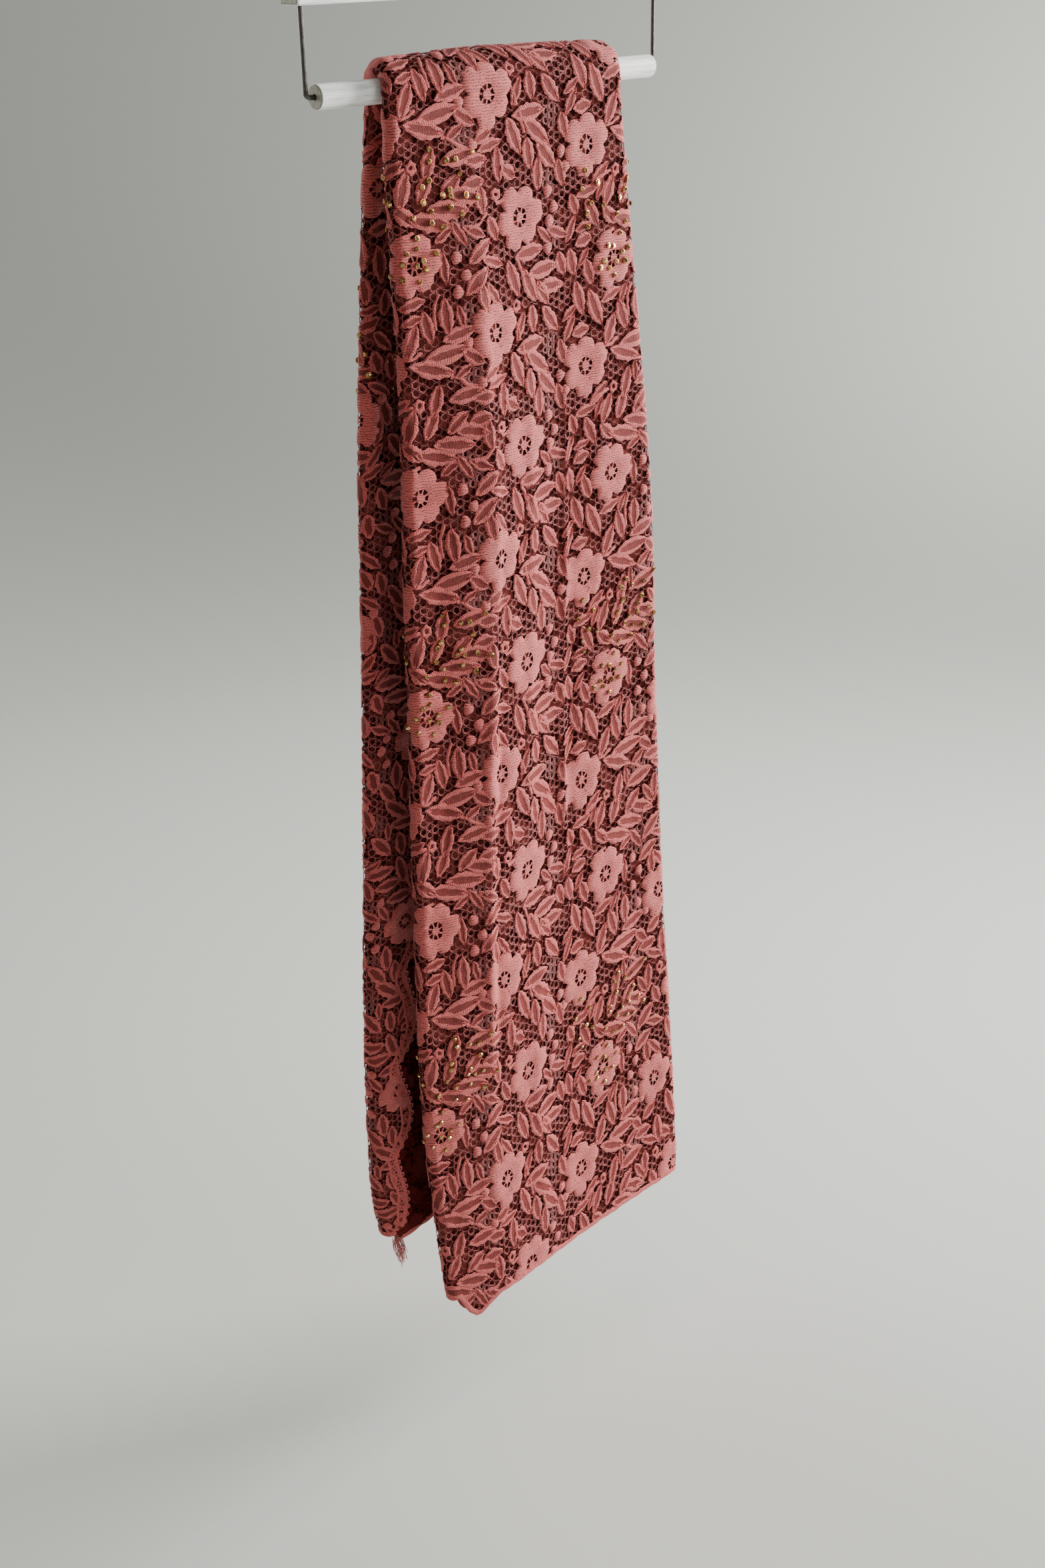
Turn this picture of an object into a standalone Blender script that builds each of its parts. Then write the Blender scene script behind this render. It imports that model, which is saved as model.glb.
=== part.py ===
# A lace hijab shawl, folded lengthwise in four and laid over the wooden rod of a rod hanger.
# Metres, +Z up. X runs along the rod, the longer front drop hangs on the -Y side, and the
# origin is the crown of the hook, where the rail touches it. Sizes below are in millimetres.

import math

import bmesh
import bpy
from mathutils import Vector

for old in list(bpy.data.objects):
    bpy.data.objects.remove(old, do_unlink=True)

MM = 0.001
GAP = 0.3

# hook: one wire bent to a round crown over a straight stem
HOOK_WIRE = 2.0
HOOK_INNER = 17.0
HOOK_TIP_ANGLE = 200.0
HOOK_NECK_ANGLE = -60.0
HOOK_SIDES = 12
HOOK_STEP = 15.0

# top bar, wire arms and rod
BAR_LENGTH = 282.0
BAR_DEPTH = 16.0
BAR_TOP = -62.0
BAR_UNDERSIDE = -80.0
BAR_EDGE = 1.2
ARM_WIRE = 1.4
ARM_SPACING = 267.4
ARM_BEND = 2.5
ARM_IN_ROD = 9.0
ARM_SIDES = 10
ROD_AXIS = -126.0
ROD_RADIUS = 6.75
ROD_LENGTH = 259.0
ROD_SHIFT = 1.6
ROD_EDGE = 0.8
ROD_SIDES = 40
BORE_DEPTH = 12.0

# cloth: one layer's wall, and the packet that four layers make
WALL = 1.6
INNER_FACE = ROD_RADIUS + GAP
EDGE_ROUND = 5.5
EDGE_LIP = 1.0
UNDER_LEVEL = WALL + GAP
CORE_FLOOR = 2 * WALL + 2 * GAP
SEAM_DROP = 14.0
UNDER_INSET = 2.0
# the hidden layers' ends at each side: how far they reach out, how deep the notches between them
# are, and the parts of the packet's thickness where layers and notches lie
LAYER_REACH = 3.0
LAYER_NOTCH = 1.8
LAYER_PLACES = (0.85, 0.67, 0.5, 0.33, 0.15)
# their stepped hem: height above the outer layer's hem, then the share of the thickness left
HEM_STEPS = ((10.0, 1.0), (9.5, 0.62), (5.0, 0.62), (4.5, 0.3), (1.0, 0.3))
# the lace's largest gaps: half their width and height, and their places in a cell of the wall
NET_GAP = (2.6, 3.4)
GAP_PLACES = ((0.45, 0.35), (0.55, 0.65))

# across the face, how far from the left fold to the right one each line of points lies
FACE_STATIONS = (0.0, 0.07, 0.15, 0.22, 0.28, 0.36, 0.47, 0.58, 0.68, 0.80, 0.91, 1.0)
UNDER_STATIONS = (1.0, 0.78, 0.56, 0.34, 0.14, 0.02)
ROUND_STEPS = 5
SADDLE_STEPS = 8

# one row for each height: drop below the rod's axis, x of the left fold, of the long ridge,
# of the long trough and of the right fold, then how far each of those four stands out
FRONT_ROWS = (
    (0, -90.2, -21, 34, 89.9, 9.5, 12.0, 11.2, 10.0),
    (40, -90.8, -34, 34, 93.5, 9.5, 13.0, 11.2, 10.5),
    (90, -90.0, -36, 34, 99.3, 9.5, 15.0, 11.2, 11.0),
    (170, -88.4, -35, 34, 108.3, 9.5, 17.5, 11.0, 12.0),
    (280, -91.6, -35, 35, 120.3, 9.8, 19.0, 11.0, 12.5),
    (405, -94.4, -36, 35, 126.0, 10.0, 19.0, 11.0, 12.5),
    (490, -96.7, -39, 37, 131.5, 10.0, 19.0, 11.0, 12.5),
    (576, -98.1, -44, 39, 136.8, 10.0, 18.5, 11.5, 12.5),
    (650, -98.8, -46, 42, 143.4, 10.0, 18.0, 12.0, 12.5),
    (700, -97.6, -45, 45, 147.6, 10.0, 17.5, 12.0, 12.5),
    (750, -93.4, -42, 48, 151.8, 10.0, 17.0, 12.0, 12.5),
    (790, -90.0, -39, 50, 155.2, 9.8, 16.5, 11.8, 12.3),
    (832, -85.5, -35, 53, 158.0, 9.5, 16.0, 11.5, 12.0),
    (868, -80.0, -32, 55, 157.5, 9.5, 15.5, 11.2, 11.8),
)
BACK_ROWS = (
    (0, -83.0, -9, 41, 90.0, 9.5, 12.0, 11.0, 10.0),
    (87, -92.4, -13, 41, 91.0, 9.5, 13.5, 10.8, 10.5),
    (171, -100.0, -19, 41, 92.5, 9.5, 14.5, 10.5, 11.0),
    (229, -104.2, -24, 40, 94.0, 9.8, 15.0, 10.5, 11.5),
    (328, -108.6, -29, 39, 97.0, 10.0, 15.0, 10.5, 12.0),
    (387, -111.8, -33, 39, 98.5, 10.5, 15.0, 10.8, 12.0),
    (476, -117.2, -39, 37, 100.5, 11.0, 15.0, 11.0, 12.0),
    (565, -123.0, -45, 34, 103.0, 11.5, 15.0, 11.5, 12.0),
    (618, -125.6, -49, 31, 104.5, 12.0, 15.5, 12.0, 12.5),
    (678, -127.4, -51, 29, 106.0, 12.5, 15.5, 12.0, 12.5),
    (742, -127.2, -52, 28, 108.0, 12.5, 15.5, 12.0, 12.5),
    (798, -119.0, -52, 27, 109.0, 12.0, 15.0, 12.0, 12.0),
)
FRONT_LEVELS = (14, 40, 75, 115, 160, 205, 255, 305, 355, 405, 455, 505, 555, 605, 650, 690, 725, 757,
                787, 813, 837, 857)
BACK_LEVELS = (14, 45, 87, 130, 175, 225, 280, 335, 390, 440, 490, 540, 590, 635, 675, 710, 740, 765, 786)
# how much of the full drop the hem reaches, at some places across the face
FRONT_HEM = ((0.0, 0.985), (0.04, 1.006), (0.07, 1.015), (0.15, 1.0), (0.3, 0.998), (0.55, 0.995),
             (0.8, 0.991), (1.0, 0.989))
BACK_HEM = ((0.0, 0.966), (0.02, 1.005), (0.07, 1.022), (0.15, 0.999), (0.22, 0.991), (0.4, 0.994),
            (1.0, 0.996))
# drop and x of the scalloped selvage's hollows on the rod side, then the scallops' depth
FRONT_SELVAGE = ((0, 51, 10), (200, 53, 10), (450, 56, 11), (700, 59, 11), (860, 61, 11))
BACK_SELVAGE = ((0, 51, 10), (150, 6, 10), (300, -37, 11), (450, -70, 12), (560, -92, 13), (636, -103, 14),
                (711, -109, 12), (786, -113, 8))
SCALLOP_PITCH = 75.0
SCALLOP_START = 36.0
SCALLOP_LEAN = 1.4
SELVAGE_STEP = 13.0
FRONT_SELVAGE_END = 838.0
BACK_SELVAGE_END = 764.0


def make_material(name, colour, roughness, metallic=0.0):
    material = bpy.data.materials.new(name)
    material.use_nodes = True
    shader = material.node_tree.nodes["Principled BSDF"]
    shader.inputs["Base Color"].default_value = (*colour, 1.0)
    shader.inputs["Roughness"].default_value = roughness
    shader.inputs["Metallic"].default_value = metallic
    return material


CHROME = make_material("chrome", (0.55, 0.55, 0.56), 0.15, 1.0)
WHITE_PAINT = make_material("white_paint", (0.80, 0.82, 0.79), 0.4)
LACE = make_material("rose_lace", (0.50, 0.21, 0.19), 0.85)
LACE_UNDER = make_material("rose_lace_under", (0.30, 0.08, 0.08), 0.9)


def add_object(name, bm, material, smooth_below=None):
    """Makes one object from a mesh in millimetres."""
    bmesh.ops.scale(bm, vec=(MM, MM, MM), verts=bm.verts)
    mesh = bpy.data.meshes.new(name)
    bm.to_mesh(mesh)
    bm.free()
    mesh.materials.append(material)
    if smooth_below is not None:
        mesh.shade_smooth()
        mesh.set_sharp_from_angle(angle=math.radians(smooth_below))
    item = bpy.data.objects.new(name, mesh)
    bpy.context.scene.collection.objects.link(item)
    return item


def interpolate(table, at):
    """Reads a table whose first column is the place, on a smooth curve through its rows."""
    rows = [[float(value) for value in row] for row in table]
    at = min(max(at, rows[0][0]), rows[-1][0])
    k = 0
    while k < len(rows) - 2 and at > rows[k + 1][0]:
        k += 1
    before, here = rows[max(k - 1, 0)], rows[k]
    after, beyond = rows[k + 1], rows[min(k + 2, len(rows) - 1)]
    span = after[0] - here[0]
    t = (at - here[0]) / span
    values = []
    for column in range(1, len(here)):
        start, end = here[column], after[column]
        slope_in = (end - before[column]) / max(after[0] - before[0], 1e-9) * span
        slope_out = (beyond[column] - start) / max(beyond[0] - here[0], 1e-9) * span
        values.append(
            (2 * t**3 - 3 * t**2 + 1) * start
            + (t**3 - 2 * t**2 + t) * slope_in
            + (3 * t**2 - 2 * t**3) * end
            + (t**3 - t**2) * slope_out
        )
    return values


def ease(t):
    """A step from 0 to 1 that is half straight and half rounded at its ends."""
    t = min(max(t, 0.0), 1.0)
    return 0.5 * t + 0.5 * t * t * (3 - 2 * t)


def face_height(x, row):
    """How far the face stands out at x: up to the ridge, down to the trough, up to the fold."""
    left, ridge, trough, right, at_left, at_ridge, at_trough, at_right = row
    if x < ridge:
        return at_left + (at_ridge - at_left) * ease((x - left) / (ridge - left))
    if x < trough:
        return at_ridge + (at_trough - at_ridge) * ease((x - ridge) / (trough - ridge))
    return at_trough + (at_right - at_trough) * ease((x - trough) / (right - trough))


def wall_path(rows, hem, level):
    """The outer side of the wall at one level, as (x, height, drop), from the left fold's
    end on the rod side, round the fold, across the face, round the right fold and back
    under the packet."""
    path = []
    drop = level * interpolate(hem, 0.0)[0]
    row = interpolate(rows, drop)
    left, at_left = row[0], row[4]
    path.append((left + EDGE_ROUND + EDGE_LIP, 0.0, drop))
    for k in range(ROUND_STEPS):
        turn = math.pi * k / ROUND_STEPS
        x = left + EDGE_ROUND * (1 - math.sin(turn))
        path.append((x, at_left / 2 * (1 - math.cos(turn)), drop))
    for station in FACE_STATIONS:
        drop = level * interpolate(hem, station)[0]
        row = interpolate(rows, drop)
        x = row[0] + EDGE_ROUND + station * (row[3] - row[0] - 2 * EDGE_ROUND)
        path.append((x, face_height(x, row), drop))
    right, at_right = row[3], path[-1][1]
    middle, half = (at_right + UNDER_LEVEL) / 2, (at_right - UNDER_LEVEL) / 2
    for k in range(1, ROUND_STEPS):
        turn = math.pi * k / ROUND_STEPS
        x = right - EDGE_ROUND * (1 - math.sin(turn))
        path.append((x, middle + half * math.cos(turn), drop))
    for station in UNDER_STATIONS:
        drop = level * interpolate(hem, station)[0]
        row = interpolate(rows, drop)
        start = row[0] + EDGE_ROUND + UNDER_INSET
        x = start + station * (row[3] - EDGE_ROUND - start)
        path.append((x, UNDER_LEVEL, drop))
    return path


def offset_path(path, depth):
    """The same path, moved inwards across its own plane by a depth."""
    moved = []
    for k, (x, height, drop) in enumerate(path):
        x0, h0, _ = path[max(k - 1, 0)]
        x1, h1, _ = path[min(k + 1, len(path) - 1)]
        length = math.hypot(x1 - x0, h1 - h0)
        moved.append((x + depth * (h1 - h0) / length, height - depth * (x1 - x0) / length, drop))
    return moved


def core_ring(rows, hem, level, share=1.0):
    """The hidden layers at one level: one solid whose two ends are notched between layers."""
    upper = []
    for station in FACE_STATIONS[1:-1]:
        drop = level * interpolate(hem, station)[0]
        row = interpolate(rows, drop)
        x = row[0] + EDGE_ROUND + station * (row[3] - row[0] - 2 * EDGE_ROUND)
        top = face_height(x, row) - WALL - 2 * GAP
        upper.append((x, CORE_FLOOR + share * (top - CORE_FLOOR), drop))
    lower = [(x, CORE_FLOOR, drop) for x, _, drop in upper]
    ring = list(upper)
    for (x, top, drop), outward in ((upper[-1], 1), (upper[0], -1)):
        end = []
        for k, part in enumerate(LAYER_PLACES):
            reach = LAYER_REACH - LAYER_NOTCH * (k % 2)
            end.append((x + outward * reach, CORE_FLOOR + part * (top - CORE_FLOOR), drop))
        if outward > 0:
            ring += end + lower[::-1]
        else:
            ring += end[::-1]
    return ring


def on_front(point):
    x, height, drop = point
    return Vector((x, -(INNER_FACE + height), ROD_AXIS - drop))


def on_back(point):
    x, height, drop = point
    return Vector((x, INNER_FACE + height, ROD_AXIS - drop))


def over_rod(point, turn):
    """Places a section point on the turn from the front (0) over the rod to the back (pi)."""
    x, height, _ = point
    radius = INNER_FACE + height
    return Vector((x, -radius * math.cos(turn), ROD_AXIS + radius * math.sin(turn)))


def in_cell(corners, across, down):
    """A point in a four-sided cell, at parts of its width and its height."""
    above = corners[0].co.lerp(corners[1].co, across)
    below = corners[3].co.lerp(corners[2].co, across)
    return above.lerp(below, down)


def face_out(bm):
    """Turns a closed mesh whose faces agree with each other so that they all point out."""
    if bm.calc_volume(signed=True) < 0:
        bmesh.ops.reverse_faces(bm, faces=bm.faces)
    return bm


def cut_cell(bm, corners, across, down, inside):
    """Fills a cell round an oval gap, and returns the gap's rim."""
    width = (corners[1].co - corners[0].co).length
    height = (corners[3].co - corners[0].co).length
    rim = []
    for k in range(8):
        turn = math.pi * k / 4
        x = across - NET_GAP[0] / width * math.cos(turn)
        y = down - NET_GAP[1] / height * math.sin(turn)
        rim.append(bm.verts.new(in_cell(corners, x, y)))
    for k, corner in enumerate(corners):
        near = rim[2 * k:2 * k + 3] if k < 3 else [rim[6], rim[7], rim[0]]
        beyond = corners[(k + 1) % 4]
        for face in ((corner, near[1], near[0]), (corner, near[2], near[1]), (corner, beyond, near[2])):
            bm.faces.new(face[::-1] if inside else face)
    return rim


def gap_place(i, j, pierced):
    """Where a cell of the wall has one of the lace's large gaps, or None."""
    column = j - ROUND_STEPS - 1
    if not pierced or not 0 <= column < len(FACE_STATIONS) - 1 or (i + 2 * column) % 4:
        return None
    return GAP_PLACES[column % 2]


def skin_wall(rings_out, rings_in, pierced=False):
    """A wall between an outer and an inner sheet of points, closed along its four edges."""
    bm = bmesh.new()
    outer = [[bm.verts.new(p) for p in ring] for ring in rings_out]
    inner = [[bm.verts.new(p) for p in ring] for ring in rings_in]
    last, end = len(outer) - 1, len(outer[0]) - 1
    for i in range(last):
        for j in range(end):
            cells = [(sheet[i][j], sheet[i][j + 1], sheet[i + 1][j + 1], sheet[i + 1][j])
                     for sheet in (outer, inner)]
            place = gap_place(i, j, pierced)
            if place is None:
                bm.faces.new(cells[0])
                bm.faces.new(cells[1][::-1])
                continue
            rims = [cut_cell(bm, cell, *place, inside) for cell, inside in zip(cells, (False, True))]
            for k in range(8):
                after = (k + 1) % 8
                bm.faces.new((rims[0][k], rims[0][after], rims[1][after], rims[1][k]))
        bm.faces.new((outer[i][0], outer[i + 1][0], inner[i + 1][0], inner[i][0]))
        bm.faces.new((outer[i][end], inner[i][end], inner[i + 1][end], outer[i + 1][end]))
    for j in range(end):
        bm.faces.new((outer[0][j], inner[0][j], inner[0][j + 1], outer[0][j + 1]))
        bm.faces.new((outer[last][j], outer[last][j + 1], inner[last][j + 1], inner[last][j]))
    return face_out(bm)


def skin_rings(rings):
    """A solid through closed rings, with a flat face over the first and the last."""
    bm = bmesh.new()
    loops = [[bm.verts.new(p) for p in ring] for ring in rings]
    count = len(loops[0])
    for here, below in zip(loops, loops[1:]):
        for j in range(count):
            k = (j + 1) % count
            bm.faces.new((here[j], here[k], below[k], below[j]))
    ends = [bm.faces.new(loops[0][::-1]), bm.faces.new(loops[-1])]
    bmesh.ops.triangulate(bm, faces=ends)
    return face_out(bm)


def saddle_rows(turn_share):
    """The section row on the turn over the rod, between the front's top row and the back's."""
    front, back = FRONT_ROWS[0][1:], BACK_ROWS[0][1:]
    return [a + (b - a) * turn_share for a, b in zip(front, back)]


def saddle_sections(make_ring):
    """Places what make_ring gives for each section on the way over the rod."""
    placed = []
    flat_hem = ((0.0, 1.0), (1.0, 1.0))
    for drop in (SEAM_DROP - 2 * GAP, SEAM_DROP / 2):
        ring = make_ring(FRONT_ROWS, flat_hem, drop)
        placed.append([on_front(p) for p in ring])
    for k in range(SADDLE_STEPS + 1):
        share = k / SADDLE_STEPS
        row = saddle_rows(share)
        ring = make_ring(((0.0, *row), (1.0, *row)), flat_hem, 0.0)
        placed.append([over_rod(p, math.pi * share) for p in ring])
    for drop in (SEAM_DROP / 2, SEAM_DROP - 2 * GAP):
        ring = make_ring(BACK_ROWS, flat_hem, drop)
        placed.append([on_back(p) for p in ring])
    return placed


def selvage_ring(rows, selvage, drop):
    """The free edge layer on the rod side: from the left fold to its scalloped selvage."""
    left = interpolate(rows, drop)[0] + EDGE_ROUND + EDGE_LIP + GAP
    hollow, depth = interpolate(selvage, drop)
    part = (drop - SCALLOP_START) / SCALLOP_PITCH % 1.0
    edge = hollow + depth * math.sin(math.pi * part ** SCALLOP_LEAN)
    edge = max(edge, left + 2.0)
    middle = left + 0.6 * (edge - left)
    return [(x, height, drop) for height, line in ((0.0, (left, middle, edge)),
                                                    (WALL, (edge, middle, left))) for x in line]


def selvage_drops(finish):
    count = round((finish - SEAM_DROP) / SELVAGE_STEP)
    return [SEAM_DROP + (finish - SEAM_DROP) * k / count for k in range(count + 1)]


def build_drop(name, rows, hem, levels, place):
    """One hanging stretch of the outer layer, and the hidden layers inside it."""
    outer = [wall_path(rows, hem, level) for level in levels]
    bm = skin_wall([[place(p) for p in path] for path in outer],
                   [[place(p) for p in offset_path(path, WALL)] for path in outer], pierced=True)
    add_object(name, bm, LACE, 50)
    steps = [(level, 1.0) for level in levels[:-1]]
    steps += [(levels[-1] - rise, share) for rise, share in HEM_STEPS]
    rings = [[place(p) for p in core_ring(rows, hem, level, share)] for level, share in steps]
    add_object(name + "_inner_layers", skin_rings(rings), LACE_UNDER, 50)


def build_saddle():
    """The stretch of every layer that lies over the rod."""
    outer = saddle_sections(wall_path)
    inner = saddle_sections(lambda rows, hem, level: offset_path(wall_path(rows, hem, level), WALL))
    add_object("shawl_over_rod", skin_wall(outer, inner), LACE, 50)
    rings = saddle_sections(core_ring)
    add_object("shawl_over_rod_inner_layers", skin_rings(rings), LACE_UNDER, 50)


def build_selvages():
    """The innermost layer, which lies on the rod and ends in the scalloped selvage."""
    front = [selvage_ring(FRONT_ROWS, FRONT_SELVAGE, drop) for drop in selvage_drops(FRONT_SELVAGE_END)]
    back = [selvage_ring(BACK_ROWS, BACK_SELVAGE, drop) for drop in selvage_drops(BACK_SELVAGE_END)]
    add_object("selvage_front", skin_rings([[on_front(p) for p in ring] for ring in front]), LACE, 50)
    add_object("selvage_back", skin_rings([[on_back(p) for p in ring] for ring in back]), LACE, 50)
    flat = saddle_sections(lambda rows, hem, level: selvage_ring(rows, FRONT_SELVAGE, 0.0))
    add_object("selvage_over_rod", skin_rings(flat), LACE, 50)


def sweep_wire(name, points, radius, sides, material):
    """A round wire along points that lie in the XZ plane."""
    bm = bmesh.new()
    loops = []
    for k, point in enumerate(points):
        ahead = points[min(k + 1, len(points) - 1)]
        behind = points[max(k - 1, 0)]
        along = (ahead - behind).normalized()
        across = along.cross(Vector((0, 1, 0)))
        loop = []
        for j in range(sides):
            turn = 2 * math.pi * j / sides
            offset = radius * (math.cos(turn) * across + math.sin(turn) * Vector((0, 1, 0)))
            loop.append(bm.verts.new(point + offset))
        loops.append(loop)
    for here, after in zip(loops, loops[1:]):
        for j in range(sides):
            k = (j + 1) % sides
            bm.faces.new((here[j], here[k], after[k], after[j]))
    bm.faces.new(loops[0][::-1])
    bm.faces.new(loops[-1])
    bmesh.ops.recalc_face_normals(bm, faces=bm.faces)
    return add_object(name, bm, material, 40)


def arc_points(centre_x, centre_z, radius, start, finish, step):
    """Points on an arc in the XZ plane, between two angles in degrees."""
    count = max(1, round(abs(finish - start) / step))
    points = []
    for k in range(count + 1):
        turn = math.radians(start + (finish - start) * k / count)
        points.append(Vector((centre_x + radius * math.cos(turn), 0, centre_z + radius * math.sin(turn))))
    return points


def build_hook():
    """The crown is an arc about the rail, and the neck an equal arc back to the stem."""
    bend = HOOK_INNER + HOOK_WIRE
    crown = arc_points(0, -HOOK_INNER, bend, HOOK_TIP_ANGLE, HOOK_NECK_ANGLE, HOOK_STEP)
    neck = math.radians(HOOK_NECK_ANGLE)
    neck_x = 2 * bend * math.cos(neck)
    neck_z = -HOOK_INNER + 2 * bend * math.sin(neck)
    stem = arc_points(neck_x, neck_z, bend, 180 + HOOK_NECK_ANGLE, 180, HOOK_STEP)
    points = crown + stem[1:] + [Vector((stem[-1].x, 0, BAR_TOP + GAP))]
    sweep_wire("hook", points, HOOK_WIRE, HOOK_SIDES, CHROME)


def build_bar():
    bm = bmesh.new()
    bmesh.ops.create_cube(bm, size=1.0)
    bmesh.ops.scale(bm, vec=(BAR_LENGTH, BAR_DEPTH, BAR_TOP - BAR_UNDERSIDE), verts=bm.verts)
    bmesh.ops.translate(bm, vec=(0, 0, (BAR_TOP + BAR_UNDERSIDE) / 2), verts=bm.verts)
    bmesh.ops.bevel(bm, geom=list(bm.edges), offset=BAR_EDGE, segments=2, affect="EDGES", profile=0.5)
    add_object("top_bar", bm, WHITE_PAINT, 40)


def build_arm(name, side):
    """A wire from the bar's underside down past the rod's end, bent in to its bore."""
    x = side * ARM_SPACING / 2
    points = [Vector((x, 0, BAR_UNDERSIDE - GAP))]
    start, finish = (180, 270) if side < 0 else (0, -90)
    bend = arc_points(x - side * ARM_BEND, ROD_AXIS + ARM_BEND, ARM_BEND, start, finish, 22.5)
    rod_end = side * ROD_LENGTH / 2 + ROD_SHIFT
    points += bend + [Vector((rod_end - side * ARM_IN_ROD, 0, ROD_AXIS))]
    sweep_wire(name, points, ARM_WIRE, ARM_SIDES, CHROME)


def build_rod():
    """A turned dowel with a blind bore in each end, from its half profile spun about X."""
    half = ROD_LENGTH / 2
    bore = ARM_WIRE + GAP
    profile = []
    for side in (-1, 1):
        points = [
            (side * (half - BORE_DEPTH), 0.0),
            (side * (half - BORE_DEPTH), bore),
            (side * half, bore),
            (side * half, ROD_RADIUS - ROD_EDGE),
            (side * (half - ROD_EDGE), ROD_RADIUS),
        ]
        profile += points if side < 0 else points[::-1]
    bm = bmesh.new()
    verts = [bm.verts.new((x + ROD_SHIFT, 0, r)) for x, r in profile]
    edges = [bm.edges.new(pair) for pair in zip(verts, verts[1:])]
    bmesh.ops.spin(bm, geom=verts + edges, cent=(0, 0, 0), axis=(1, 0, 0), angle=2 * math.pi,
                   steps=ROD_SIDES, use_merge=True)
    bmesh.ops.remove_doubles(bm, verts=bm.verts, dist=0.001)
    bmesh.ops.recalc_face_normals(bm, faces=bm.faces)
    bmesh.ops.translate(bm, vec=(0, 0, ROD_AXIS), verts=bm.verts)
    add_object("rod", bm, WHITE_PAINT, 40)


build_hook()
build_bar()
build_arm("arm_left", -1)
build_arm("arm_right", 1)
build_rod()
build_drop("shawl_front", FRONT_ROWS, FRONT_HEM, FRONT_LEVELS, on_front)
build_drop("shawl_back", BACK_ROWS, BACK_HEM, BACK_LEVELS, on_back)
build_saddle()
build_selvages()
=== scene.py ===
# The looks of a rose lace shawl over a rod hanger. Blender's own space is in metres, and the
# cloth is laid out in millimetres: across it to the right, and along it down the front.

import math

import bpy
import numpy as np
from mathutils import Matrix, Vector


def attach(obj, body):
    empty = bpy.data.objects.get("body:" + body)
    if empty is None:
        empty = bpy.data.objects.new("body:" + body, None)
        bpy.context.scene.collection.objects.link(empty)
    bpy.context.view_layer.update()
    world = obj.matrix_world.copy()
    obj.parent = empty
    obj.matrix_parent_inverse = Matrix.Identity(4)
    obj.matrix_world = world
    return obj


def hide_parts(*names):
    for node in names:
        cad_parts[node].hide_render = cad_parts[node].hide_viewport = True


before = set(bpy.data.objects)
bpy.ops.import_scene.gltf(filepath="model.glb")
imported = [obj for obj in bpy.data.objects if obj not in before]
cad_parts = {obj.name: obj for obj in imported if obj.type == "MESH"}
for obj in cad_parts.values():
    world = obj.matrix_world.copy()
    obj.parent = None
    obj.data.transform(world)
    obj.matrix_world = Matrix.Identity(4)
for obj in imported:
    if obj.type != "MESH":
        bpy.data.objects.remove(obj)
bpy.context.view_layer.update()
print("frame:", len(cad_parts), "nodes")

millimetre = 0.001


def deselectAll():
    if bpy.context.object and bpy.context.object.mode != "OBJECT":
        bpy.ops.object.mode_set(mode="OBJECT")
    bpy.ops.object.select_all(action="DESELECT")


def pickOnly(item):
    deselectAll()
    item.select_set(True)
    bpy.context.view_layer.objects.active = item


def selectVerts(item, wanted):
    # leaves edit mode with just the wanted vertices selected, then goes back in
    bpy.ops.object.mode_set(mode="EDIT")
    bpy.ops.mesh.select_mode(type="VERT")
    bpy.ops.mesh.select_all(action="DESELECT")
    bpy.ops.object.mode_set(mode="OBJECT")
    for vert in item.data.vertices:
        vert.select = wanted(vert.co)
    bpy.ops.object.mode_set(mode="EDIT")


def adjust(item, wanted, scale=(1, 1, 1), move=(0, 0, 0)):
    # resizes the wanted vertices about the origin, then moves them
    selectVerts(item, wanted)
    bpy.ops.transform.resize(value=scale, center_override=(0, 0, 0))
    bpy.ops.transform.translate(value=move)
    bpy.ops.object.mode_set(mode="OBJECT")


def drawIn(grow, rise):
    # in edit mode: a new ring from the selected edge, resized and lifted
    bpy.ops.mesh.extrude_edges_move()
    bpy.ops.transform.resize(value=(grow, grow, 1), center_override=(0, 0, 0))
    bpy.ops.transform.translate(value=(0, 0, rise))


def sized(item):
    # the object's place and turn go into its mesh
    pickOnly(item)
    bpy.ops.object.transform_apply(location=True, rotation=True, scale=True)
    return item


def linear(red, green, blue):
    # a screen colour as shader values
    parts = [value / 255 for value in (red, green, blue)]
    return tuple(p / 12.92 if p <= 0.04045 else ((p + 0.055) / 1.055) ** 2.4
                 for p in parts) + (1.0,)


def unit(vectors):
    return vectors / np.maximum(np.linalg.norm(vectors, axis=-1, keepdims=True), 1e-9)


# camera, light and floor
viewpoint = {
    "place": (-0.7531, -0.8505, -0.0389),
    "right": (0.7372, -0.6754, -0.0190),
    "up": (0.3023, 0.3045, 0.9033),
    "lens": 42.11, "sensor": 36, "near": 0.05, "far": 50,
}


def addCamera():
    deselectAll()
    bpy.ops.object.camera_add(location=viewpoint["place"])
    camera = bpy.context.object
    right = Vector(viewpoint["right"]).normalized()
    back = right.cross(Vector(viewpoint["up"])).normalized()
    turn = Matrix((right, back.cross(right), back)).transposed().to_4x4()
    camera.matrix_world = Matrix.Translation(viewpoint["place"]) @ turn
    camera.data.lens = viewpoint["lens"]
    camera.data.sensor_width = viewpoint["sensor"]
    camera.data.clip_start = viewpoint["near"]
    camera.data.clip_end = viewpoint["far"]
    bpy.context.scene.camera = camera


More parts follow.
